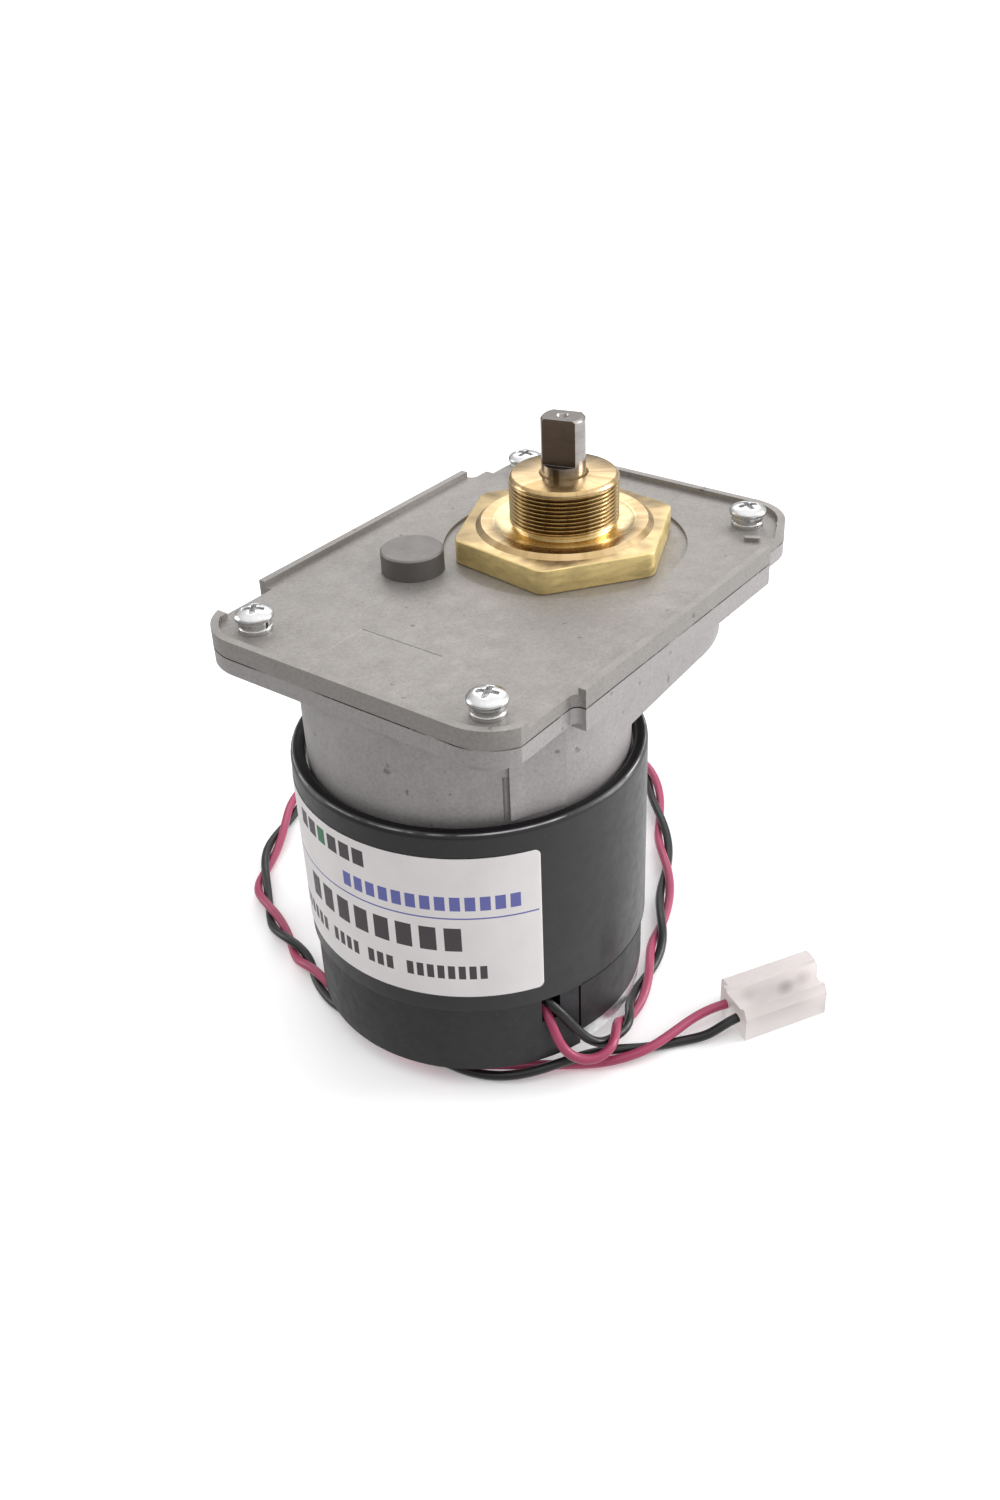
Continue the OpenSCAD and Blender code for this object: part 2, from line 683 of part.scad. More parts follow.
module motor_pinion() {
    turn = direction(motor_axis, first_axis) + 180 / motor_pinion_gear[0];
    color([0.78, 0.63, 0.35]) translate([0, 0, layer_a - 0.4]) difference() {
        spur(motor_pinion_gear, turn, wheel_t + 0.8, 0.08, 0.9);
        translate([0, 0, -1]) cylinder(d = rotor_shaft_d, h = 10);
    }
}

// Laminated core with seven slots
module armature_core() {
    slots = 7;
    color([0.4, 0.4, 0.42]) translate([0, 0, armature_low]) difference() {
        cylinder(r = armature_r, h = armature_high - armature_low);
        translate([0, 0, -1]) cylinder(d = rotor_shaft_d, h = 40);
        for (i = [0:slots - 1]) rotate([0, 0, i * 360 / slots]) {
            translate([15, 0, -1]) cylinder(r = 4, h = 40);
            translate([15, -0.8, -1]) cube([12, 1.6, 40]);
        }
    }
}

// Coil sides in the slots, joined by an end turn above and one below the core
module windings() {
    slots = 7;
    color([0.72, 0.38, 0.2]) {
        for (i = [0:slots - 1]) rotate([0, 0, i * 360 / slots])
            translate([15, 0, armature_low]) cylinder(r = 3.8, h = armature_high - armature_low);
        tube(19.4, 9, armature_high, armature_high + 4);
        tube(19.4, 9, armature_low - 4, armature_low);
    }
}

module commutator() {
    bars = 7;
    color([0.74, 0.45, 0.28]) difference() {
        tube(commutator_r, rotor_shaft_d / 2, commutator_low, commutator_high);
        for (i = [0:bars - 1]) rotate([0, 0, i * 360 / bars])
            translate([commutator_r - 1.2, -0.2, commutator_low - 1]) cube([3, 0.4, 20]);
    }
}

module brush_card() {
    color([0.45, 0.28, 0.16]) tube(rear_inner_r, bearing_r + 2.6, card_low, card_low + card_t);
}

// Two open channels that guide the brushes and their springs
module brush_holders() {
    color([0.76, 0.62, 0.34]) for (a = [0, 180]) rotate([0, 0, a]) difference() {
        translate([9.4, -3.4, card_low + card_t]) cube([13.6, 6.8, brush_low + brush_t + 0.8 - card_low - card_t]);
        translate([9.2, -2.5, brush_low]) cube([12.8, 5, brush_t]);
    }
}

module brushes() {
    color([0.2, 0.2, 0.2]) for (a = [0, 180]) rotate([0, 0, a])
        translate([commutator_r + 0.1, -2.5, brush_low]) cube([6.4, 5, brush_t]);
}

// One coil spring behind each brush
module brush_springs() {
    turns = 5;
    from = commutator_r + 6.5;
    pitch = (22 - from - 0.5) / turns;
    color([0.75, 0.75, 0.76]) for (a = [0, 180]) rotate([0, 0, a]) for (i = [0:turns])
        translate([from + i * pitch, 0, brush_low + brush_t / 2]) rotate([0, 90, 0]) difference() {
            cylinder(r = 1.8, h = 0.5);
            translate([0, 0, -1]) cylinder(r = 1.3, h = 3);
        }
}

module name_plate() {
    color([0.88, 0.87, 0.87]) arc_block(can_r, can_r + label_t, label_low, label_high, label_start, label_end);
}

// ---- Leads and plug ----

module lead_red_exit() {
    color([0.80, 0.35, 0.45]) swept(red_exit_route, lead_d);
}

module lead_black_exit() {
    color([0.22, 0.22, 0.22]) swept(black_exit_route, lead_d);
}

module lead_pair() {
    color([0.55, 0.25, 0.30]) swept(pair_route, pair_d);
}

module lead_red_plug() {
    color([0.80, 0.35, 0.45]) swept(red_plug_route, lead_d);
}

module lead_black_plug() {
    color([0.22, 0.22, 0.22]) swept(black_plug_route, lead_d);
}

// Moves its children from the plug's own frame, whose x runs from the lead end to the mating end
module in_plug_frame() {
    translate([plug_corner[0], plug_corner[1], 0]) rotate([0, 0, plug_angle]) children();
}

module plug_housing() {
    cavity = 3.4;
    h = plug_size[2];
    color([0.92, 0.91, 0.90]) in_plug_frame() difference() {
        // Cross-section, with a lip along the far edge and a ridge along the near one
        rotate([90, 0, 90]) linear_extrude(plug_size[0]) polygon([
            [0, 0], [plug_size[1], 0], [plug_size[1], h - 0.4], [plug_size[1] - 0.4, h], [7.4, h], [7.1, h - 0.6],
            [1.9, h - 0.6], [1.6, h], [1, h], [0, h - 1.6]
        ]);
        // The near way ends short of the far one at the mating end
        translate([0, 0, -1]) linear_extrude(h + 2) polygon([
            [17.4, -1], [17.4, 3.6], [19.6, 6.4], [21, 6.4], [21, -1]
        ]);
        translate([-1, plug_size[1] - 2.3, -1]) cube([1.9, 4, h + 2]);
        for (v = [black_lead_v, red_lead_v]) {
            translate([4, v - cavity / 2, plug_lead_z - cavity / 2]) cube([20, cavity, cavity]);
            translate([-1, v, plug_lead_z]) rotate([0, 90, 0]) cylinder(d = lead_d, h = 6);
        }
    }
}

module plug_terminals() {
    color([0.7, 0.7, 0.68]) in_plug_frame() for (v = [black_lead_v, red_lead_v])
        translate([5, v, plug_lead_z]) rotate([0, 90, 0]) difference() {
            cylinder(r = 1.3, h = 9);
            translate([0, 0, 2]) cylinder(r = 0.9, h = 9);
        }
}

gearbox_housing();
gearbox_cover();
cover_screws();
lock_washers();
mounting_bush();
output_shaft();
output_wheel();
output_bearing();
output_washer();
first_pin();
first_cluster();
second_pin();
second_wheel();
second_pinion();
second_washers();
motor_tube();
front_plate();
tie_screws();
front_bearing();
rear_bearing();
rear_cover();
rear_plate();
magnet_north();
magnet_south();
motor_shaft();
motor_pinion();
armature_core();
windings();
commutator();
brush_card();
brush_holders();
brushes();
brush_springs();
name_plate();
lead_red_exit();
lead_black_exit();
lead_pair();
lead_red_plug();
lead_black_plug();
plug_housing();
plug_terminals();
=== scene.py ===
import json
import math

import bmesh
import bpy
import numpy as np
from mathutils import Matrix, Vector


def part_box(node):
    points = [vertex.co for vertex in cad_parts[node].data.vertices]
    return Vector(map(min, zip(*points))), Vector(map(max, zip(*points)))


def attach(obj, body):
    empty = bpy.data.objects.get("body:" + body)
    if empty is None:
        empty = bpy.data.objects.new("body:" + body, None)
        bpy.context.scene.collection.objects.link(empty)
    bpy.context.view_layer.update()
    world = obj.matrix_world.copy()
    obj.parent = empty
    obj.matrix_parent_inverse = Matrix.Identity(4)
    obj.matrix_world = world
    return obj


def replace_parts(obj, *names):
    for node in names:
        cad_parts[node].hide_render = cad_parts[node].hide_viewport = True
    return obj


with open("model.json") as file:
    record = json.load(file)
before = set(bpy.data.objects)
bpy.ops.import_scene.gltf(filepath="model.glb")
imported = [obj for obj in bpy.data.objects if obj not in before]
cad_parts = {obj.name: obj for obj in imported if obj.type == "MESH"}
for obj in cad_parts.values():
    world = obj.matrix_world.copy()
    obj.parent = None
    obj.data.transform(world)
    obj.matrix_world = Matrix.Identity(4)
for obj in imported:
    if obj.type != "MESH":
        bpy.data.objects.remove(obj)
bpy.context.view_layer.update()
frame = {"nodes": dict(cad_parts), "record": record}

MM = 0.001
UP = (0, 0, 1)
CASE = "case"

# ---- Places read from the frame ----

MOUNTS = {m["name"]: m for m in frame["record"]["mounts"]}
OUTPUT_X, OUTPUT_Y, _ = MOUNTS["panel_bush"]["pos_m"]
BARREL_R = MOUNTS["panel_bush"]["dims"]["r_mm"] * MM
RING_TOP = MOUNTS["panel_face"]["pos_m"][2]
BUSH_LOW, BUSH_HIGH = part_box("mounting_bush")
TUBE_LOW, TUBE_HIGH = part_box("motor_tube")
TUBE_R = (TUBE_HIGH[0] - TUBE_LOW[0]) / 2
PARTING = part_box("gearbox_housing")[1][2]
COVER_LOW, COVER_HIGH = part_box("gearbox_cover")
COVER_THICKNESS = 2.3 * MM
PLATE_TOP = PARTING + COVER_THICKNESS
# The axis of the cover's boss, over the second gear pin
BOSS_AT = (10.274 * MM, 19.175 * MM, 0)
FLAT_TURN = math.degrees(math.atan2(*reversed(MOUNTS["drive_flat"]["axis"][:2])))
# How far the hexagon is turned, in degrees
HEX_TURN = 23


# ---- Camera ----


def place_camera():
    """The camera of the reference view: above the front left corner, looking down on the gearbox."""
    at = Vector((-164.7, -135.9, 191.8)) * MM
    ahead = Vector((0.6577, 0.5157, -0.549)).normalized()
    roll = math.radians(-2.63)
    right = ahead.cross(Vector(UP)).normalized()
    up = right.cross(ahead)
    right, up = (
        right * math.cos(roll) + up * math.sin(roll),
        up * math.cos(roll) - right * math.sin(roll),
    )
    data = bpy.data.cameras.new("camera")
    data.lens = 34.39
    data.sensor_width = 36
    data.clip_start = 0.01
    camera = bpy.data.objects.new("camera", data)
    bpy.context.scene.collection.objects.link(camera)
    camera.matrix_world = Matrix.Translation(at) @ Matrix((right, up, -ahead)).transposed().to_4x4()
    bpy.context.scene.camera = camera


# ---- Materials ----


class Shader:
    """A Principled material, with short calls that add texture to it."""

    def __init__(self, name, color, rough, metal=0.0, **sockets):
        self.material = bpy.data.materials.new(name)
        self.material.use_nodes = True
        self.nodes = self.material.node_tree.nodes
        self.links = self.material.node_tree.links
        self.out = self.nodes["Principled BSDF"]
        self.out.inputs["Base Color"].default_value = (*color, 1)
        self.out.inputs["Roughness"].default_value = rough
        self.out.inputs["Metallic"].default_value = metal
        for key, value in sockets.items():
            self.out.inputs[key.replace("_", " ")].default_value = value
        self.color = color
        self.rough = rough
        self.normal = None
        self.place = self.nodes.new("ShaderNodeTexCoord").outputs["Object"]

    def noise(self, scale, detail=4, stretch=(1, 1, 1), warp=0.0):
        """Noise with features about 1 / scale metres across, longer along an axis of low stretch."""
        mapping = self.nodes.new("ShaderNodeMapping")
        mapping.inputs["Scale"].default_value = stretch
        texture = self.nodes.new("ShaderNodeTexNoise")
        texture.inputs["Scale"].default_value = scale
        texture.inputs["Detail"].default_value = detail
        texture.inputs["Distortion"].default_value = warp
        self.links.new(self.place, mapping.inputs["Vector"])
        self.links.new(mapping.outputs["Vector"], texture.inputs["Vector"])
        return texture.outputs["Fac"]

    def spread(self, value, low, high, band=(0.3, 0.7)):
        """A noise's band, mapped to low..high."""
        ranged = self.nodes.new("ShaderNodeMapRange")
        for key, number in zip(("From Min", "From Max", "To Min", "To Max"), (*band, low, high)):
            ranged.inputs[key].default_value = number
        self.links.new(value, ranged.inputs["Value"])
        return ranged.outputs["Result"]

    def level(self):
        """The object position with its height dropped."""
        level = self.nodes.new("ShaderNodeVectorMath")
        level.operation = "MULTIPLY"
        level.inputs[1].default_value = (1, 1, 0)
        self.links.new(self.place, level.inputs[0])
        return level.outputs["Vector"]

    def outward(self):
        """The direction away from the piece's own upright axis."""
        unit = self.nodes.new("ShaderNodeVectorMath")
        unit.operation = "NORMALIZE"
        self.links.new(self.level(), unit.inputs[0])
        return unit.outputs["Vector"]

    def reflection_streaks(self, scale, detail=3):
        """Noise that changes only with the angle round the axis: painted reflection streaks, standing in
        for the streaky reflections of turned metal.
        """
        texture = self.nodes.new("ShaderNodeTexNoise")
        texture.inputs["Scale"].default_value = scale
        texture.inputs["Detail"].default_value = detail
        self.links.new(self.outward(), texture.inputs["Vector"])
        return texture.outputs["Fac"]

    def side(self, angle, band):
        """1 on the side of the axis that lies at the angle, 0 on the others."""
        dot = self.nodes.new("ShaderNodeVectorMath")
        dot.operation = "DOT_PRODUCT"
        dot.inputs[1].default_value = (math.cos(math.radians(angle)), math.sin(math.radians(angle)), 0)
        self.links.new(self.outward(), dot.inputs[0])
        return self.spread(dot.outputs["Value"], 0, 1, band)

    def depth(self, outer, inner):
        """0 at the outer radius and 1 at the inner one."""
        length = self.nodes.new("ShaderNodeVectorMath")
        length.operation = "LENGTH"
        self.links.new(self.level(), length.inputs[0])
        return self.spread(length.outputs["Value"], 1, 0, (inner, outer))

    def near(self, point, inner, outer, stretch=(1, 1, 1)):
        """1 within the inner distance of a point and 0 beyond the outer one."""
        offset = self.nodes.new("ShaderNodeVectorMath")
        offset.operation = "SUBTRACT"
        offset.inputs[1].default_value = point
        scaled = self.nodes.new("ShaderNodeVectorMath")
        scaled.operation = "MULTIPLY"
        scaled.inputs[1].default_value = stretch
        length = self.nodes.new("ShaderNodeVectorMath")
        length.operation = "LENGTH"
        self.links.new(self.place, offset.inputs[0])
        self.links.new(offset.outputs["Vector"], scaled.inputs[0])
        self.links.new(scaled.outputs["Vector"], length.inputs[0])
        return self.spread(length.outputs["Value"], 1, 0, (inner, outer))

    def facing(self, direction, band):
        """1 where the surface faces a direction of the piece itself, 0 elsewhere."""
        dot = self.nodes.new("ShaderNodeVectorMath")
        dot.operation = "DOT_PRODUCT"
        dot.inputs[1].default_value = direction
        normal = self.nodes.new("ShaderNodeTexCoord").outputs["Normal"]
        self.links.new(normal, dot.inputs[0])
        absolute = self.nodes.new("ShaderNodeMath")
        absolute.operation = "ABSOLUTE"
        self.links.new(dot.outputs["Value"], absolute.inputs[0])
        return self.spread(absolute.outputs["Value"], 0, 1, band)

    def both(self, first, second):
        """The part that two masks share."""
        product = self.nodes.new("ShaderNodeMath")
        product.operation = "MULTIPLY"
        self.links.new(first, product.inputs[0])
        self.links.new(second, product.inputs[1])
        return product.outputs["Value"]

    def mottle(self, value, other, amount=1.0, band=(0.3, 0.7)):
        """Blends the colour towards another where the value is high."""
        mix = self.nodes.new("ShaderNodeMix")
        mix.data_type = "RGBA"
        colour = self.out.inputs["Base Color"]
        if colour.is_linked:
            self.links.new(colour.links[0].from_socket, mix.inputs["A"])
        else:
            mix.inputs["A"].default_value = (*self.color, 1)
        mix.inputs["B"].default_value = (*other, 1)
        self.links.new(self.spread(value, 0, amount, band), mix.inputs["Factor"])
        self.links.new(mix.outputs["Result"], colour)
        return self

    def polish(self, value, swing):
        """Varies the roughness by swing each way."""
        varied = self.spread(value, self.rough - swing, self.rough + swing)
        self.links.new(varied, self.out.inputs["Roughness"])
        return self

    def bump(self, value, height, strength=1.0):
        """Raises the surface by up to height metres."""
        node = self.nodes.new("ShaderNodeBump")
        node.inputs["Strength"].default_value = strength
        node.inputs["Distance"].default_value = height
        self.links.new(value, node.inputs["Height"])
        if self.normal:
            self.links.new(self.normal, node.inputs["Normal"])
        self.normal = node.outputs["Normal"]
        self.links.new(self.normal, self.out.inputs["Normal"])
        return self


def cast_zinc(name, color, boss=None):
    """Die-cast zinc: dull, grainy and softly clouded, with dark specks and perhaps one darker boss whose
    upright side carries painted shade.
    """
    s = Shader(name, color, 0.5, 0.5)
    darker = [c * 0.68 for c in color]
    paler = [min(1, c * 1.3) for c in color]
    s.mottle(s.noise(35, 3, warp=0.5), darker, 0.25).mottle(s.noise(190, 5, warp=0.3), darker, 0.3)
    s.mottle(s.noise(3400, 2), darker, 0.7).mottle(s.noise(1500, 3), paler, 0.3)
    s.mottle(s.noise(420, 2), [c * 0.35 for c in color], 0.7, (0.7, 0.76))
    if boss:
        on_boss = s.near(boss, 5.7 * MM, 5.9 * MM, (1, 1, 0))
        upright = s.spread(s.facing(UP, (0.3, 0.8)), 1, 0, (0, 1))
        s.mottle(on_boss, [c * 0.6 for c in color], 0.85, (0, 1))
        # Painted shade: the boss's upright side is darkened beyond its top.
        s.mottle(s.both(on_boss, upright), [c * 0.35 for c in color], 0.7, (0, 1))
    s.polish(s.noise(260, 4), 0.08)
    s.bump(s.noise(2600, 2), 0.00004)
    return s.bump(s.noise(700, 4), 0.00002).material


def plated(name, color, rough=0.28):
    """Bright plated steel."""
    s = Shader(name, color, rough, 1.0)
    s.mottle(s.noise(700, 3), [c * 0.7 for c in color], 0.5).polish(s.noise(1200, 3), 0.08)
    return s.bump(s.noise(3000, 2), 0.00001).material


def turned(name, color, rough=0.3):
    """Turned metal: fine tool marks round the axis."""
    s = Shader(name, color, rough, 1.0)
    marks = s.noise(60, 6, stretch=(2, 2, 90))
    s.mottle(marks, [c * 0.75 for c in color], 0.4).mottle(s.noise(140, 4), [c * 0.75 for c in color], 0.5)
    s.polish(s.noise(300, 3), 0.08)
    return s.bump(marks, 0.00001).material


def turned_brass(name, color, stain_and_shade, shade, groove=None):
    """Bright turned brass: tool marks, painted reflection streaks round the axis, painted shade on one
    side, and painted shade towards the root of any groove.
    """
    s = Shader(name, color, 0.26, 1.0)
    # Painted reflection streaks round the axis.
    s.mottle(s.reflection_streaks(2.2), stain_and_shade, 0.7, (0.48, 0.62)).mottle(s.reflection_streaks(9, 4), stain_and_shade, 0.5, (0.45, 0.7))
    # Painted shade on the side that lies at -149 degrees.
    s.mottle(s.side(-149, (0.8, 0.93)), stain_and_shade, shade)
    s.mottle(s.noise(60, 6, stretch=(2, 2, 90)), stain_and_shade, 0.3).mottle(s.noise(300, 4), stain_and_shade, 0.25)
    if groove:
        # Painted shade: darker towards the groove's root.
        s.mottle(s.depth(*groove), [c * 0.3 for c in stain_and_shade], 0.8, (0, 1))
    s.polish(s.noise(300, 3), 0.06)
    return s.bump(s.noise(60, 6, stretch=(2, 2, 90)), 0.00001).material


def milled(name, color, rough=0.34):
    """Milled flats: coarse blotchy marks and small nicks."""
    s = Shader(name, color, rough, 1.0)
    s.mottle(s.noise(250, 5, stretch=(1, 1, 3), warp=1), [c * 0.72 for c in color], 0.5)
    s.mottle(s.noise(900, 4), [c * 0.5 for c in color], 0.6, (0.6, 0.75))
    s.polish(s.noise(500, 3), 0.1)
    return s.bump(s.noise(420, 5, warp=0.6), 0.00003).material


def hexagon_brass(name, color, top_color):
    """Drawn brass bar: blotchy and nicked on the flats, with a darker, less metallic top that carries
    painted reflection streaks.
    """
    s = Shader(name, color, 0.36, 1.0)
    s.mottle(s.noise(250, 5, stretch=(1, 1, 3), warp=1), [c * 0.62 for c in color], 0.7, (0.4, 0.65))
    s.mottle(s.noise(80, 3, warp=1), [c * 0.6 for c in color], 0.6, (0.4, 0.6))
    top = s.facing(UP, (0.9, 0.99))
    s.mottle(top, top_color, 0.9, (0, 1))
    # Painted reflection streaks on the top.
    s.mottle(s.both(top, s.reflection_streaks(3)), [c * 0.6 for c in top_color], 0.8, (0.42, 0.58))
    s.links.new(s.spread(top, 0.6, 1, (0, 1)), s.out.inputs["Metallic"])
    s.mottle(s.noise(900, 4), [c * 0.5 for c in color], 0.6, (0.6, 0.75))
    s.polish(s.noise(500, 3), 0.08)
    return s.bump(s.noise(420, 5, warp=0.6), 0.00003).material


def ground_shaft(name, color, flat_skin_and_shade):
    """Ground bright steel, with its milled flats darkened: partly their darker skin, partly painted shade.
    """
    s = Shader(name, color, 0.22, 1.0)
    s.mottle(s.noise(60, 6, stretch=(2, 2, 90)), [c * 0.8 for c in color], 0.5)
    turn = math.radians(FLAT_TURN)
    # Partly painted shade: the milled flats are darkened by the way they face.
    s.mottle(s.facing((math.cos(turn), math.sin(turn), 0), (0.985, 0.995)), flat_skin_and_shade, 1.0, (0, 1))
    s.mottle(s.facing(UP, (0.95, 0.99)), [c * 0.3 for c in color], 1.0, (0, 1))
    s.mottle(s.noise(350, 4, stretch=(1, 1, 4)), [c * 0.6 for c in flat_skin_and_shade], 0.3)
    s.polish(s.noise(400, 3), 0.06)
    return s.bump(s.noise(900, 3, stretch=(1, 1, 0.2)), 0.000008).material


def painted(name, color, rough, coat, rim_from=None):
    """Black paint over metal, faintly uneven, perhaps with a painted highlight along the rounded outer edge
    of its rim.
    """
    s = Shader(name, color, rough, 0.0, Coat_Weight=coat, Coat_Roughness=0.12)
    s.mottle(s.noise(120, 4), [c * 1.8 + 0.004 for c in color], 0.5)
    s.mottle(s.noise(1300, 3), [c * 2.5 + 0.01 for c in color], 0.6, (0.62, 0.75))
    s.polish(s.noise(500, 4), 0.06)
    if rim_from:
        # Painted highlight: a broken light line where the rim's outer edge turns upward.
        turned_up = s.both(s.facing(UP, (0.64, 0.7)), s.spread(s.facing(UP, (0.78, 0.84)), 1, 0, (0, 1)))
        outer = s.spread(s.depth(rim_from + 0.2 * MM, rim_from), 1, 0, (0, 1))
        painted_rim_highlight = s.both(s.both(turned_up, outer), s.spread(s.noise(130, 4), 0, 1, (0.42, 0.62)))
        s.mottle(painted_rim_highlight, (0.5, 0.48, 0.5), 1.0, (0, 1))
        level = s.facing(UP, (0.9, 0.97))
        s.links.new(s.spread(level, 0.5, 0.15, (0, 1)), s.out.inputs["Specular IOR Level"])
        s.links.new(s.spread(level, coat, 0, (0, 1)), s.out.inputs["Coat Weight"])
    return s.bump(s.noise(1500, 4), 0.00001).material


def moulded(name, color, rough=0.45, **sockets):
    """Moulded plastic or soft insulation."""
    s = Shader(name, color, rough, 0.0, **sockets)
    s.mottle(s.noise(150, 3), [c * 0.85 for c in color], 0.5).polish(s.noise(900, 3), 0.06)
    return s.bump(s.noise(1800, 3), 0.000015).material


def nylon(name, color, shadow, spots):
    """Milky nylon, darker where the terminals inside show through."""
    s = Shader(name, color, 0.5, 0.0, Transmission_Weight=0.6, IOR=1.35)
    s.mottle(s.noise(150, 3), [c * 0.9 for c in color], 0.5)
    for point, amount in spots:
        spot = s.near([v * MM for v in point], 0.3 * MM, 1.7 * MM, SPOT_STRETCH)
        s.mottle(spot, shadow, amount, (0, 1))
    s.polish(s.noise(900, 3), 0.06)
    return s.bump(s.noise(1800, 3), 0.000015).material


def crevice_shade_line(name, color, gap):
    """Painted shade of the crevice where two castings meet: mostly dark, with lighter metal here and there.
    """
    s = Shader(name, color, 0.7, 0.0)
    s.mottle(s.noise(110, 3), gap, 1.0, (0.35, 0.5))
    s.mottle(s.noise(900, 2), [c * 1.3 for c in color], 0.5, (0.6, 0.75))
    return s.bump(s.noise(900, 2), 0.00003).material


# Where the terminals show through the plug, in millimetres, and how strongly
NYLON_SPOTS = [((22.6, -54.1, 6.7), 0.75), ((26.6, -55.5, 6.7), 0.45), ((16.8, -49.4, 6.0), 0.25)]
SPOT_STRETCH = (0.6, 1, 0.5)
GROOVE = (BARREL_R - 0.05 * MM, BARREL_R - 0.4 * MM)

MATERIALS = {
    "cover_zinc": cast_zinc("cover_zinc", (0.33, 0.31, 0.295), BOSS_AT),
    "housing_zinc": cast_zinc("housing_zinc", (0.41, 0.385, 0.385)),
    "plated": plated("plated", (0.72, 0.72, 0.72), 0.27),
    # The last number of each turned brass is the strength of its painted shade on one side; the thread's
    # material also puts painted shade in its grooves.
    "brass_turned": turned_brass("brass_turned", (0.70, 0.53, 0.31), (0.40, 0.26, 0.10), 0.3),
    "brass_thread": turned_brass("brass_thread", (0.80, 0.62, 0.34), (0.34, 0.20, 0.06), 0.8, GROOVE),
    # A paler copy of the turned brass: painted highlight on the relief and groove at the barrel's foot.
    "brass_relief_highlight": turned_brass("brass_relief_highlight", (0.86, 0.72, 0.44), (0.60, 0.44, 0.21), 0.3),
    "brass_hexagon": hexagon_brass("brass_hexagon", (0.97, 0.75, 0.33), (0.62, 0.46, 0.25)),
    "brass_milled": milled("brass_milled", (0.70, 0.52, 0.24)),
    "shaft": turned("shaft", (0.50, 0.46, 0.42), 0.2),
    "output_shaft": ground_shaft("output_shaft", (0.48, 0.45, 0.43), (0.19, 0.14, 0.105)),
    "gear_steel": milled("gear_steel", (0.35, 0.35, 0.36)),
    "bronze": turned("bronze", (0.45, 0.30, 0.17), 0.4),
    "acetal": moulded("acetal", (0.75, 0.70, 0.55)),
    "tube_black": painted("tube_black", (0.004, 0.0035, 0.0045), 0.42, 0.2, TUBE_R - 1.2 * MM),
    "cover_black": painted("cover_black", (0.008, 0.007, 0.009), 0.52, 0.05),
    "pale_zinc": plated("pale_zinc", (0.78, 0.78, 0.79), 0.4),
    "ferrite": moulded("ferrite", (0.05, 0.05, 0.055), 0.6),
    "lamination": milled("lamination", (0.22, 0.22, 0.23), 0.45),
    "copper": turned("copper", (0.62, 0.28, 0.14), 0.35),
    "card": moulded("card", (0.2, 0.09, 0.04), 0.6),
    "carbon": moulded("carbon", (0.03, 0.03, 0.03), 0.6),
    # Painted shade for the crevice where the cover meets the housing.
    "seam": crevice_shade_line("seam", (0.30, 0.28, 0.27), (0.02, 0.018, 0.017)),
    # Near-black for the painted shade strip under the tube's lower edge.
    "gap": moulded("gap", (0.004, 0.004, 0.004), 0.9),
    "mark_shade": cast_zinc("mark_shade", (0.13, 0.12, 0.115)),
    "mark_light": cast_zinc("mark_light", (0.42, 0.40, 0.38)),
    "paper": moulded("paper", (0.84, 0.80, 0.80), 0.4),
    "ink": moulded("ink", (0.055, 0.043, 0.05), 0.4),
    "ink_green": moulded("ink_green", (0.03, 0.17, 0.08), 0.4),
    "ink_rule": moulded("ink_rule", (0.13, 0.14, 0.42), 0.4),
    "red_pvc": moulded("red_pvc", (0.39, 0.05, 0.12), 0.34),
    "black_pvc": moulded("black_pvc", (0.006, 0.006, 0.006), 0.36),
    "nylon": nylon("nylon", (0.92, 0.87, 0.86), (0.42, 0.38, 0.40), NYLON_SPOTS),
    "tinned": plated("tinned", (0.6, 0.6, 0.58), 0.3),
}

NODE_MATERIALS = {
    "gearbox_housing": "housing_zinc", "gearbox_cover": "cover_zinc", "cover_screws": "plated",
    "lock_washers": "plated", "output_shaft": "output_shaft", "output_wheel": "gear_steel",
    "output_bearing": "bronze", "output_washer": "plated", "first_pin": "shaft",
    "first_cluster": "acetal", "second_pin": "shaft", "second_wheel": "gear_steel",
    "second_pinion": "gear_steel", "second_washers": "plated", "motor_tube": "tube_black",
    "front_plate": "pale_zinc", "tie_screws": "plated", "front_bearing": "shaft",
    "rear_bearing": "shaft", "rear_cover": "cover_black", "rear_plate": "pale_zinc",
    "magnet_north": "ferrite", "magnet_south": "ferrite", "motor_shaft": "shaft",
    "motor_pinion": "brass_milled", "armature_core": "lamination", "windings": "copper",
    "commutator": "copper", "brush_card": "card", "brush_holders": "brass_milled",
    "brushes": "carbon", "brush_springs": "plated", "plug_terminals": "tinned",
}


# ---- Mesh helpers ----


def new_piece(name, mesh, material):
    """Links a mesh as a piece of the case, with its material."""
    piece = bpy.data.objects.new(name, mesh)
    bpy.context.scene.collection.objects.link(piece)
    mesh.materials.append(MATERIALS[material])
    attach(piece, CASE)
    return piece


def mesh_from(b, name):
    """Turns a finished bmesh into a named mesh."""
    mesh = bpy.data.meshes.new(name)
    b.to_mesh(mesh)
    b.free()
    return mesh


def smooth(mesh, angle):
    """Smooth shading, with edges sharper than the angle left crisp."""
    mesh.shade_smooth()
    b = bmesh.new()
    b.from_mesh(mesh)
    for edge in b.edges:
        if len(edge.link_faces) == 2 and edge.calc_face_angle(0) > math.radians(angle):
            edge.smooth = False
    b.to_mesh(mesh)
    b.free()


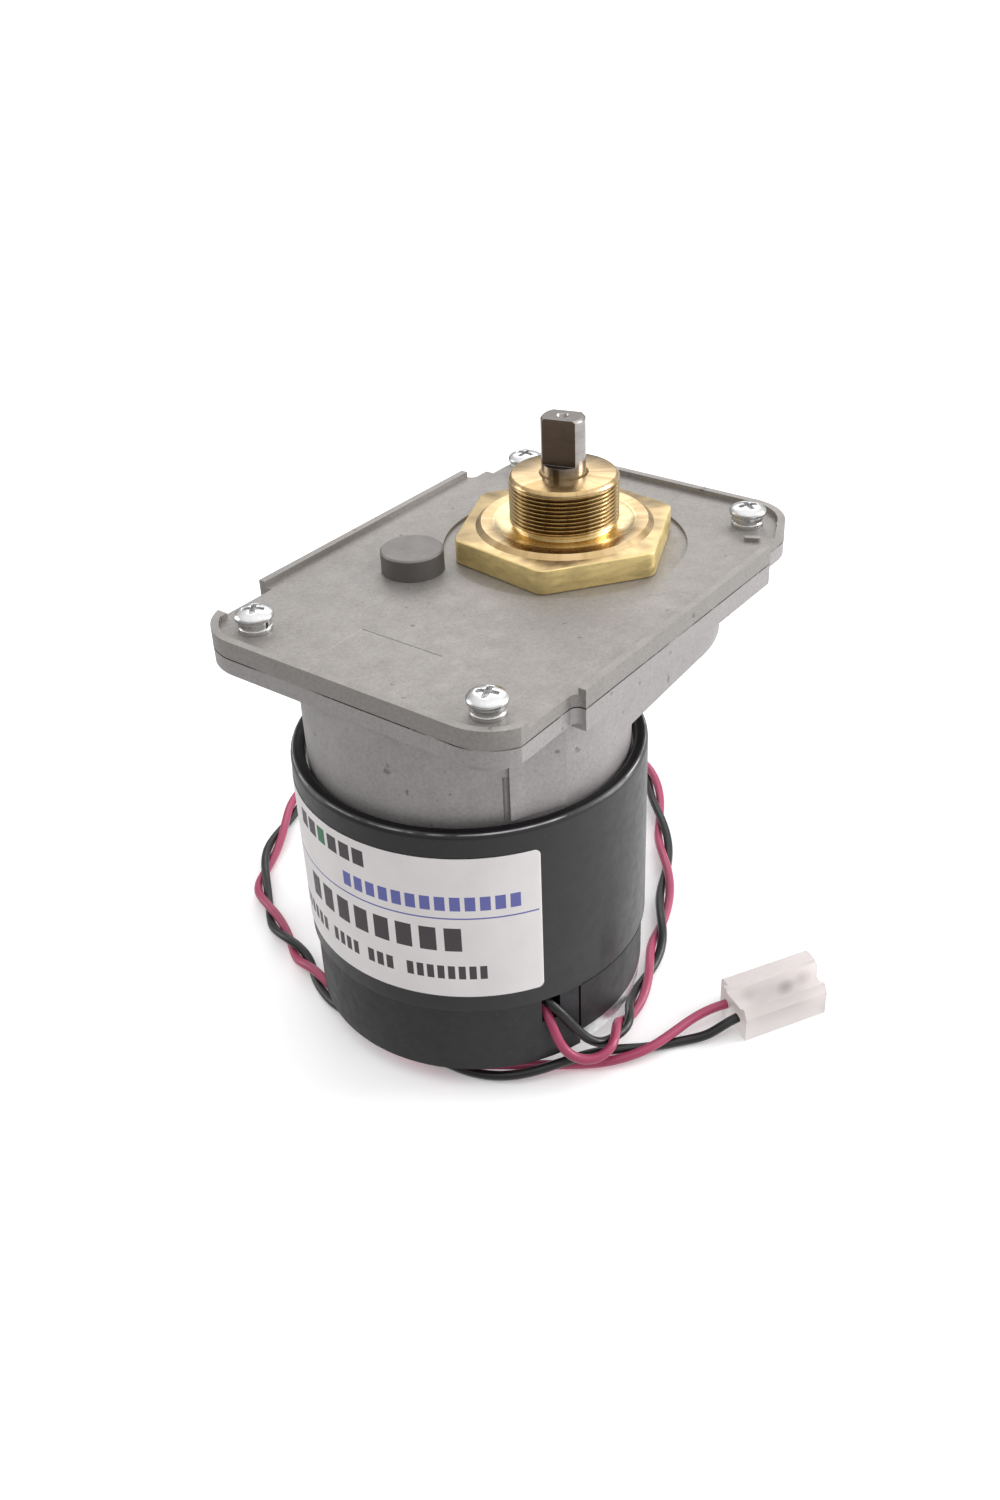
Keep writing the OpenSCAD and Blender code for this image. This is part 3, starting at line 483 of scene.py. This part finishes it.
def soften(node, width):
    """Rounds the edges of a CAD node's own object with modifiers."""
    obj = frame["nodes"][node]
    weld = obj.modifiers.new("weld", "WELD")
    weld.merge_threshold = 0.000004
    flat = obj.modifiers.new("flat", "DECIMATE")
    flat.decimate_type = "DISSOLVE"
    flat.angle_limit = math.radians(0.6)
    bevel = obj.modifiers.new("bevel", "BEVEL")
    bevel.width = width
    bevel.segments = 2
    bevel.limit_method = "ANGLE"
    bevel.angle_limit = math.radians(30)
    bevel.harden_normals = False
    normals = obj.modifiers.new("normals", "WEIGHTED_NORMAL")
    normals.keep_sharp = True


def lathe_rows(rows, turns=128):
    """A closed surface of revolution. Each row is a function of the angle that returns (radius, height)."""
    b = bmesh.new()
    rings = []
    for row in rows:
        ring = []
        for k in range(turns):
            a = 2 * math.pi * k / turns
            r, z = row(a)
            ring.append(b.verts.new((r * math.cos(a), r * math.sin(a), z)))
        rings.append(ring)
    for low, high in zip(rings, rings[1:] + rings[:1]):
        for k in range(turns):
            n = (k + 1) % turns
            b.faces.new((low[k], low[n], high[n], high[k]))
    bmesh.ops.recalc_face_normals(b, faces=b.faces)
    return mesh_from(b, "lathe")


# ---- Leads ----

LEAD_D = 1.8 * MM
PAIR_HALF = 1.0 * MM
RED_EXIT = [
    (-14.1, -24.9, 14.6), (-15, -26.6, 13.6), (-15.6, -28.2, 11.6), (-15.6, -29.4, 9),
    (-15.1, -31, 6.8), (-13.6, -33.2, 5.4), (-11.2, -35.2, 5.3), (-8, -35.8, 6.2), (-5, -34.5, 6.6),
]
BLACK_EXIT = [
    (-14.1, -24.9, 17), (-14.4, -26.5, 16.2), (-13.9, -28.1, 14.8), (-13, -29.5, 12.4),
    (-11.8, -30.9, 9.6), (-10.4, -32.3, 7.2), (-8.1, -33.7, 5.4), (-5, -34.5, 4.6),
]
PAIR = [
    (-5, -34.5, 5.6), (-1, -33.4, 4.6), (4, -31.9, 3), (10.5, -30, 2), (19, -27.4, 2),
    (27.5, -23.9, 2), (36, -19.8, 2), (43, -16, 2), (51, -10.8, 2), (60, -4, 2),
    (69, 2.8, 2), (76, 9.5, 2), (81, 19, 2), (82, 31, 2), (79, 43, 2),
    (72, 54, 2), (62, 63, 2), (50, 70, 2), (38, 73, 2), (28, 72, 2),
    (19, 68.4, 2), (12, 65.2, 2), (4.5, 61.4, 2), (-2, 57.6, 2), (-7.5, 53.2, 2),
    (-12, 47, 2), (-15.6, 40, 2), (-18, 34, 2), (-20.5, 27.5, 2), (-23.4, 20, 2),
    (-25.4, 12, 2), (-26.2, 4, 2), (-26.4, -4, 2), (-25.6, -11, 2), (-23.2, -17.4, 2),
    (-19.6, -22.8, 2), (-14.8, -27.6, 2), (-9.6, -32.4, 2), (-5, -36.6, 2), (-1, -39.6, 2),
    (2.5, -41.4, 2),
]
RED_PLUG = [(2.5, -41.4, 3), (6, -42, 3), (10, -43.2, 3.2), (12.8, -44.6, 3.4), (15.0, -45.94, 3.4)]
BLACK_PLUG = [(2.5, -41.4, 1), (5.4, -44, 1), (8, -46.6, 1.8), (10.6, -48.2, 3), (13.0, -49.4, 3.4)]
# Distances along the pair, in millimetres, at which the red lead and the black one lie on top by turns
CROSSINGS = [
    0, 8, 23, 37, 55, 73, 92, 112, 131, 150, 170, 189, 208, 226, 241, 254, 264, 285, 306, 326, 343.4
]


def spline_through(points, step):
    """Points about step apart on a natural cubic spline through the given ones."""
    p = np.array(points, float)
    s = np.r_[0, np.cumsum(np.linalg.norm(np.diff(p, axis=0), axis=1))]
    h = np.diff(s)
    n = len(p)
    matrix = np.eye(n)
    target = np.zeros((n, 3))
    for i in range(1, n - 1):
        matrix[i, i - 1:i + 2] = h[i - 1], 2 * (h[i - 1] + h[i]), h[i]
        target[i] = 6 * ((p[i + 1] - p[i]) / h[i] - (p[i] - p[i - 1]) / h[i - 1])
    m = np.linalg.solve(matrix, target)
    t = np.linspace(0, s[-1], max(2, int(round(s[-1] / step)) + 1))
    i = np.clip(np.searchsorted(s, t, side="right") - 1, 0, n - 2)
    a = ((s[i + 1] - t) / h[i])[:, None]
    b = 1 - a
    hh = (h[i] ** 2)[:, None]
    return a * p[i] + b * p[i + 1] + ((a ** 3 - a) * m[i] + (b ** 3 - b) * m[i + 1]) * hh / 6


def twisted(points, half, start):
    """One lead of the pair. It circles the pair's line clockwise, half a turn on at each crossing."""
    line = spline_through(points, 1.0)
    s = np.r_[0, np.cumsum(np.linalg.norm(np.diff(line, axis=0), axis=1))]
    ahead = np.gradient(line, axis=0)
    ahead /= np.linalg.norm(ahead, axis=1)[:, None]
    left = np.cross(UP, ahead)
    left /= np.linalg.norm(left, axis=1)[:, None]
    up = np.cross(ahead, left)
    turn = start - math.pi * np.interp(s, CROSSINGS, range(len(CROSSINGS)))
    return line + half * (np.cos(turn)[:, None] * left + np.sin(turn)[:, None] * up)


def lead_line(exit_route, start, plug_route):
    """A lead's whole line: out of the motor, round the pair and into the plug, with the joins eased."""
    parts = [
        spline_through(exit_route, 1.0)[:-2],
        twisted(PAIR, PAIR_HALF / MM, start)[2:-2],
        spline_through(plug_route, 1.0)[2:],
    ]
    line = np.vstack(parts)
    for _ in range(3):
        line[1:-1] = (line[:-2] + 2 * line[1:-1] + line[2:]) / 4
    return spline_through(line, 0.7) * MM


def lead(name, exit_route, start, plug_route, material, nodes):
    line = lead_line(exit_route, start, plug_route)
    curve = bpy.data.curves.new(name, "CURVE")
    curve.dimensions = "3D"
    spline = curve.splines.new("POLY")
    spline.points.add(len(line) - 1)
    spline.points.foreach_set("co", np.c_[line, np.ones(len(line))].ravel())
    spline.use_smooth = True
    curve.bevel_depth = LEAD_D / 2
    curve.bevel_resolution = 3
    curve.use_fill_caps = True
    piece = new_piece(name, curve, material)
    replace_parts(piece, *nodes)
    length = float(np.linalg.norm(np.diff(line, axis=0), axis=1).sum())
    print(name, "is", round(length, 4), "m long")


# ---- Mounting bush ----


def threaded_barrel():
    """The bush above its hexagon: turned ring, groove, relief, helical thread, top band and bore."""
    pitch = 0.75 * MM
    depth = 0.48 * MM
    hex_top = RING_TOP - 0.8 * MM
    relief_r = BARREL_R - 0.6 * MM
    bore_r = 4.05 * MM
    thread_low = hex_top + 1.1 * MM
    thread_high = BUSH_HIGH[2] - 0.9 * MM
    chamfer = 0.6 * MM

    def fixed(r, z):
        return lambda a: (r, z)

    def threaded(z):
        def row(a):
            wave = 1 - abs(math.cos(math.pi * z / pitch - a / 2)) ** 1.5
            ease = min(1, (z - thread_low) / pitch, (thread_high - z) / (0.5 * pitch))
            return BARREL_R - depth * max(0, ease) * (1 - wave), z
        return row

    steps = int((thread_high - thread_low) / pitch * 16)
    rows = [
        fixed(16.3 * MM, hex_top - 0.6 * MM), fixed(16.3 * MM, hex_top),
        fixed(15.5 * MM, RING_TOP - 0.15 * MM), fixed(15.3 * MM, RING_TOP),
        fixed(13.1 * MM, RING_TOP), fixed(12.7 * MM, RING_TOP - 0.2 * MM),
        fixed(11.8 * MM, hex_top + 0.15 * MM), fixed(relief_r + 0.5 * MM, hex_top + 0.15 * MM),
        fixed(relief_r + 0.12 * MM, hex_top + 0.28 * MM), fixed(relief_r, hex_top + 0.5 * MM),
        fixed(relief_r, thread_low - 0.3 * MM), fixed(relief_r + 0.3 * MM, thread_low - 0.1 * MM),
    ]
    rows += [threaded(thread_low + (thread_high - thread_low) * i / steps) for i in range(steps + 1)]
    rows += [
        fixed(BARREL_R, BUSH_HIGH[2] - chamfer - 0.1 * MM),
        fixed(BARREL_R - 0.1 * MM, BUSH_HIGH[2] - chamfer + 0.1 * MM),
        fixed(BARREL_R - chamfer + 0.1 * MM, BUSH_HIGH[2] - 0.1 * MM),
        fixed(BARREL_R - chamfer - 0.1 * MM, BUSH_HIGH[2]),
        fixed(bore_r + 0.45 * MM, BUSH_HIGH[2]), fixed(bore_r, BUSH_HIGH[2] - 0.4 * MM),
        fixed(bore_r, hex_top - 0.6 * MM),
    ]
    mesh = lathe_rows(rows, 192)
    piece = new_piece("bush_barrel", mesh, "brass_turned")
    mesh.materials.append(MATERIALS["brass_thread"])
    mesh.materials.append(MATERIALS["brass_relief_highlight"])
    for face in mesh.polygons:
        middle = face.center
        off = math.hypot(middle.x, middle.y)
        if thread_low < middle.z < thread_high and off > relief_r - 0.1 * MM:
            face.material_index = 1
        # Painted highlight: the relief and groove at the barrel's foot take the paler brass.
        elif middle.z < thread_low and off < 13 * MM:
            face.material_index = 2
    piece.location = (OUTPUT_X, OUTPUT_Y, 0)
    smooth(mesh, 30)
    return piece


def bush_hexagon():
    """The hexagon, with rounded corners and a chamfered top, and the spigot below it."""
    flat = 36.5 * MM / 2
    corner_r = 2.6 * MM
    low = BUSH_LOW[2] + 1.7 * MM
    top = RING_TOP - 0.8 * MM
    ease = 0.22 * MM
    turn = math.radians(HEX_TURN)
    reach = (flat - corner_r) / math.cos(math.pi / 6)

    def outline(inset):
        points = []
        for k in range(6):
            middle = turn + k * math.pi / 3
            for i in range(-4, 5):
                a = middle + i / 4 * math.pi / 6
                points.append((
                    reach * math.cos(middle) + (corner_r - inset) * math.cos(a),
                    reach * math.sin(middle) + (corner_r - inset) * math.sin(a),
                ))
        return points

    b = bmesh.new()
    levels = [(ease, low), (0, low + ease), (0, top - ease), (ease * 0.4, top - ease * 0.3), (ease, top)]
    rings = [[b.verts.new((x, y, z)) for x, y in outline(inset)] for inset, z in levels]
    count = len(rings[0])
    for under, over in zip(rings, rings[1:]):
        for k in range(count):
            n = (k + 1) % count
            b.faces.new((under[k], under[n], over[n], over[k]))
    for ring, z, inner_r in ((rings[0], low, 8.5 * MM), (rings[-1], top, 15 * MM)):
        inner = [
            b.verts.new((inner_r * math.cos(a), inner_r * math.sin(a), z))
            for a in [math.atan2(v.co.y, v.co.x) for v in ring]
        ]
        for k in range(count):
            n = (k + 1) % count
            b.faces.new((ring[k], ring[n], inner[n], inner[k]))
        if ring is rings[-1]:
            b.faces.new(inner)
        else:
            foot = [b.verts.new((v.co.x, v.co.y, BUSH_LOW[2])) for v in inner]
            for k in range(count):
                n = (k + 1) % count
                b.faces.new((inner[k], inner[n], foot[n], foot[k]))
            b.faces.new(foot)
    bmesh.ops.recalc_face_normals(b, faces=b.faces)
    mesh = mesh_from(b, "bush_hexagon")
    piece = new_piece("bush_hexagon", mesh, "brass_hexagon")
    piece.location = (OUTPUT_X, OUTPUT_Y, 0)
    smooth(mesh, 40)


# ---- Gearbox trim ----

PROUD = 2.1 * MM
BACK_PROUD = 2.9 * MM
FILLET = 1.5 * MM
RADIUS = 10 * MM


def box_corners(inset):
    """The cover's outline, anticlockwise: corners, and a proud pad on both long sides."""
    steps = 24
    (x0, y0, _), (x1, y1, _) = COVER_LOW, COVER_HIGH
    front, back = y0 + PROUD, y1 - BACK_PROUD
    relief = back - 1.8 * MM
    bulge = 1.2 * MM
    pad, pad_end, back_end = -9.6 * MM, 50 * MM, 48.8 * MM
    relief_from = 53.2 * MM
    corner_to = 7.2 * MM
    points = []

    def arc(x, y, r, first, last):
        for i in range(steps + 1):
            a = math.radians(first + (last - first) * i / steps)
            points.append((x + r * math.cos(a), y + r * math.sin(a)))

    r = RADIUS - inset
    cut = math.degrees(math.asin((RADIUS - bulge - inset) / r))
    arc(x0 + RADIUS, front - bulge + RADIUS, r, 180, 180 + cut)
    arc(pad - FILLET, front - FILLET, FILLET + inset, 90, 0)
    points += [(pad + inset, y0 + inset), (pad_end - inset, y0 + inset), (pad_end - inset, front + inset)]
    arc(x1 - RADIUS, front + RADIUS, r, 270, 360)
    arc(x1 - RADIUS, relief - RADIUS, r, 0, 90)
    points += [(relief_from - inset, relief - inset), (relief_from - inset, back - inset)]
    arc(back_end + FILLET, back + FILLET, FILLET + inset, 270, 180)
    points += [(back_end - inset, y1 - inset), (pad + inset, y1 - inset), (pad + inset, back - inset)]
    points.append((x0 + corner_to - inset, back - inset))
    turn = math.degrees(math.acos((corner_to - inset - RADIUS) / r))
    arc(x0 + RADIUS, back + bulge - RADIUS, r, turn, 180)
    return points


def ring_of(outer, inner, low, high, name, material):
    """A flat band between two outlines with the same number of points."""
    b = bmesh.new()
    loops = [
        [b.verts.new((x, y, z)) for x, y in outline]
        for outline, z in ((outer, low), (outer, high), (inner, high), (inner, low))
    ]
    count = len(outer)
    for one, other in zip(loops, loops[1:] + loops[:1]):
        for k in range(count):
            n = (k + 1) % count
            b.faces.new((one[k], one[n], other[n], other[k]))
    bmesh.ops.recalc_face_normals(b, faces=b.faces)
    mesh = mesh_from(b, name)
    new_piece(name, mesh, material)


def parting_seam():
    """Painted shade of the crevice: a dark fine line where the cover meets the housing."""
    ring_of(
        box_corners(-0.02 * MM), box_corners(1 * MM), PARTING - 0.11 * MM, PARTING + 0.11 * MM,
        "parting_seam", "seam",
    )


def cover_mark():
    """Two edges of the shallow rectangle that a mould insert left in the cover: one in shade, one lit."""
    top = PLATE_TOP
    x0, x1, y0, y1 = (v * MM for v in (-20, -11.8, -5.2, 11.95))
    w = 0.16 * MM
    rim = [(x1 - w, y0), (x1, y0), (x1, y1), (x1 - w, y1)]
    lit = [(x0, y1 - w), (x1 - w, y1 - w), (x1 - w, y1), (x0, y1)]
    b = bmesh.new()
    for outline, index in ((rim, 0), (lit, 1)):
        low = [b.verts.new((x, y, top - 0.05 * MM)) for x, y in outline]
        high = [b.verts.new((x, y, top + 0.015 * MM)) for x, y in outline]
        faces = [b.faces.new(high), b.faces.new(low[::-1])]
        faces += [b.faces.new((low[k], low[(k + 1) % 4], high[(k + 1) % 4], high[k])) for k in range(4)]
        for face in faces:
            face.material_index = index
    mesh = mesh_from(b, "cover_mark")
    new_piece("cover_mark", mesh, "mark_shade")
    mesh.materials.append(MATERIALS["mark_light"])


def tube_seam():
    """Painted shade under the tube's lower edge: a dark strip from the slit in the rear cover round to the
    back.
    """
    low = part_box("motor_tube")[0][2]
    first, last, steps = math.radians(-107.5), math.radians(30), 48
    corners = [
        (TUBE_R - 0.4 * MM, low - 0.02 * MM), (TUBE_R + 0.015 * MM, low - 0.02 * MM),
        (TUBE_R + 0.015 * MM, low + 0.3 * MM), (TUBE_R - 0.4 * MM, low + 0.3 * MM),
    ]
    b = bmesh.new()
    rings = []
    for k in range(steps + 1):
        a = first + (last - first) * k / steps
        rings.append([b.verts.new((r * math.cos(a), r * math.sin(a), z)) for r, z in corners])
    for one, other in zip(rings, rings[1:]):
        for k in range(4):
            b.faces.new((one[k], one[(k + 1) % 4], other[(k + 1) % 4], other[k]))
    b.faces.new(rings[0])
    b.faces.new(rings[-1][::-1])
    bmesh.ops.recalc_face_normals(b, faces=b.faces)
    mesh = mesh_from(b, "tube_seam")
    new_piece("tube_seam", mesh, "gap")


# ---- Name plate ----


def name_plate():
    """White film round the tube, with rounded corners, a rule and plain bars in place of print."""
    low, high = (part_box("name_plate")[i][2] for i in (0, 1))
    start, end = math.radians(-239.5), math.radians(-121.4)
    radius = TUBE_R + 0.03 * MM
    width, height = radius * (end - start), high - low
    corner = 1.1 * MM
    # Left, right, bottom and top in millimetres, the width of a bar and of a gap, and the material
    rows = [
        (16.6, 22.3, 24.6, 27.9, 2.4, 0.7, 1), (23.0, 25.2, 24.6, 27.9, 0, 0, 3),
        (26, 34.6, 24.6, 27.9, 2.4, 0.7, 1), (29.4, 61.4, 18.9, 21.8, 1.7, 0.75, 2),
        (0.5, width / MM - 0.5, 17.1, 17.4, 0, 0, 2), (18.2, 51.2, 10.2, 15.2, 2.9, 1.35, 1),
        (9.5, 22.3, 4.0, 6.9, 1.3, 0.6, 1), (24.6, 31.2, 4.0, 6.9, 1.3, 0.6, 1),
        (33.4, 38.6, 4.0, 6.9, 1.3, 0.6, 1), (41.2, 55.2, 4.0, 6.9, 1.3, 0.6, 1),
    ]
    bars = []
    for first, last, under, over, mark, gap, ink in rows:
        count = max(1, round((last - first + gap) / (mark + gap))) if mark else 1
        pitch = (last - first + gap) / count
        for k in range(count):
            bars.append(((first + k * pitch, first + (k + 1) * pitch - gap, under, over), ink))
    steps = [corner / MM * i / 6 for i in range(7)]
    across = steps + [width / MM - x for x in steps] + [1.0 * i for i in range(2, int(width / MM) - 1)]
    upward = steps + [height / MM - y for y in steps] + [2.0 * i for i in range(1, 13)]
    for (x0, x1, y0, y1), _ in bars:
        across += [x0, x1]
        upward += [y0, y1]
    across, upward = (sorted({round(v, 2) for v in values}) for values in (across, upward))

    def at(x, y):
        """A point of the film, x along it and y up it, pulled in at the rounded corners."""
        u, v = x * MM, y * MM
        cu = min(max(u, corner), width - corner)
        cv = min(max(v, corner), height - corner)
        off = math.hypot(u - cu, v - cv)
        if off > corner:
            u, v = cu + (u - cu) * corner / off, cv + (v - cv) * corner / off
        a = start + u / radius
        return radius * math.cos(a), radius * math.sin(a), low + v

    b = bmesh.new()
    grid = [[b.verts.new(at(x, y)) for x in across] for y in upward]
    for j in range(len(upward) - 1):
        for i in range(len(across) - 1):
            face = b.faces.new((grid[j][i], grid[j][i + 1], grid[j + 1][i + 1], grid[j + 1][i]))
            x, y = (across[i] + across[i + 1]) / 2, (upward[j] + upward[j + 1]) / 2
            for (x0, x1, y0, y1), index in bars:
                if x0 < x < x1 and y0 < y < y1:
                    face.material_index = index
    bmesh.ops.remove_doubles(b, verts=b.verts, dist=0.00001)
    mesh = mesh_from(b, "name_plate")
    mesh.shade_smooth()
    piece = new_piece("name_plate_film", mesh, "paper")
    mesh.materials.append(MATERIALS["ink"])
    mesh.materials.append(MATERIALS["ink_rule"])
    mesh.materials.append(MATERIALS["ink_green"])
    thick = piece.modifiers.new("thick", "SOLIDIFY")
    thick.thickness = 0.1 * MM
    thick.offset = 1
    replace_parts(piece, "name_plate")


# ---- Plug ----


def plug_body():
    """The plug keeps its CAD shape, with milky nylon and softened edges."""
    node = frame["nodes"]["plug_housing"]
    node.data.materials.clear()
    node.data.materials.append(MATERIALS["nylon"])
    soften("plug_housing", 0.2 * MM)


# ---- Stage ----


def area_light(name, at, aim, size, power):
    data = bpy.data.lights.new(name, "AREA")
    data.shape = "RECTANGLE"
    data.size, data.size_y = size
    data.energy = power
    light = bpy.data.objects.new(name, data)
    bpy.context.scene.collection.objects.link(light)
    light.location = at
    light.rotation_euler = (Vector(aim) - Vector(at)).to_track_quat("-Z", "Y").to_euler()


def soft_sky(terms):
    """A soft studio sky. Each term adds a strength that rises or falls across a band of a direction."""
    world = bpy.data.worlds.new("sky")
    bpy.context.scene.world = world
    world.use_nodes = True
    nodes, links = world.node_tree.nodes, world.node_tree.links
    place = nodes.new("ShaderNodeTexCoord").outputs["Generated"]
    strength = None
    for direction, band, low, high in terms:
        dot = nodes.new("ShaderNodeVectorMath")
        dot.operation = "DOT_PRODUCT"
        dot.inputs[1].default_value = Vector(direction).normalized()
        links.new(place, dot.inputs[0])
        ranged = nodes.new("ShaderNodeMapRange")
        for key, value in zip(("From Min", "From Max", "To Min", "To Max"), (*band, low, high)):
            ranged.inputs[key].default_value = value
        links.new(dot.outputs["Value"], ranged.inputs["Value"])
        if strength:
            total = nodes.new("ShaderNodeMath")
            links.new(strength, total.inputs[0])
            links.new(ranged.outputs["Result"], total.inputs[1])
            strength = total.outputs["Value"]
        else:
            strength = ranged.outputs["Result"]
    nodes["Background"].inputs["Color"].default_value = (1, 1, 1, 1)
    links.new(strength, nodes["Background"].inputs["Strength"])


def studio_floor():
    """A round pale floor that curves up into a wall far behind the part, on every side."""
    flat, curve, height, turns = 2.5, 1.5, 5.0, 96
    bends = np.linspace(0, math.pi / 2, 17)
    profile = [(flat + curve * math.sin(a), curve - curve * math.cos(a)) for a in bends]
    profile.append((flat + curve, height))
    b = bmesh.new()
    rings = []
    for r, z in profile:
        angles = [2 * math.pi * k / turns for k in range(turns)]
        rings.append([b.verts.new((r * math.cos(a), r * math.sin(a), z)) for a in angles])
    b.faces.new(rings[0])
    for low, high in zip(rings, rings[1:]):
        for k in range(turns):
            n = (k + 1) % turns
            b.faces.new((low[n], low[k], high[k], high[n]))
    mesh = mesh_from(b, "floor")
    mesh.shade_smooth()
    return mesh


def set_stage():
    mesh = studio_floor()
    floor = bpy.data.objects.new("floor", mesh)
    bpy.context.scene.collection.objects.link(floor)
    floor.visible_diffuse = False
    floor.visible_glossy = False
    floor.visible_shadow = False
    s = Shader("floor", (0.96, 0.96, 0.96), 0.8, Emission_Color=(1, 1, 1, 1), Emission_Strength=0.15)
    mesh.materials.append(s.mottle(s.noise(3, 2), (0.95, 0.95, 0.95), 0.5).material)
    soft_sky([
        ((0, 0, 1), (0, 1), 0.28, 1.45), ((0, 0, 1), (-0.1, 0), 0.6, 0),
        ((0.6, -0.8, 0), (-1, 1), -0.28, 0.28), ((-1, -0.2, -0.3), (0.4, 1), 0, -0.12),
    ])
    centre = (0.02, 0, 0.05)
    area_light("key", (0.5, -0.5, 0.3), centre, (0.3, 0.5), 3.5)
    area_light("back", (0.6, 0.35, 0.55), centre, (0.7, 0.4), 1.2)
    area_light("side", (-0.2, 0.55, 0.2), centre, (0.3, 0.4), 0.9)
    bpy.context.scene.view_settings.view_transform = "Standard"


# ---- Assembly ----

place_camera()
lead(
    "lead_red", RED_EXIT, math.pi / 2, RED_PLUG, "red_pvc",
    ["lead_red_exit", "lead_pair", "lead_red_plug"],
)
lead(
    "lead_black", BLACK_EXIT, -math.pi / 2, BLACK_PLUG, "black_pvc",
    ["lead_black_exit", "lead_black_plug"],
)
set_stage()
for node, material in NODE_MATERIALS.items():
    mesh = frame["nodes"][node].data
    mesh.materials.clear()
    mesh.materials.append(MATERIALS[material])
for node, width in (
    ("gearbox_housing", 0.35 * MM), ("gearbox_cover", 0.35 * MM), ("cover_screws", 0.12 * MM),
    ("lock_washers", 0.12 * MM), ("rear_cover", 0.12 * MM), ("rear_plate", 0.2 * MM),
    ("output_shaft", 0.1 * MM), ("motor_tube", 0.15 * MM),
):
    soften(node, width)
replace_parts(threaded_barrel(), "mounting_bush")
bush_hexagon()
parting_seam()
cover_mark()
tube_seam()
name_plate()
plug_body()
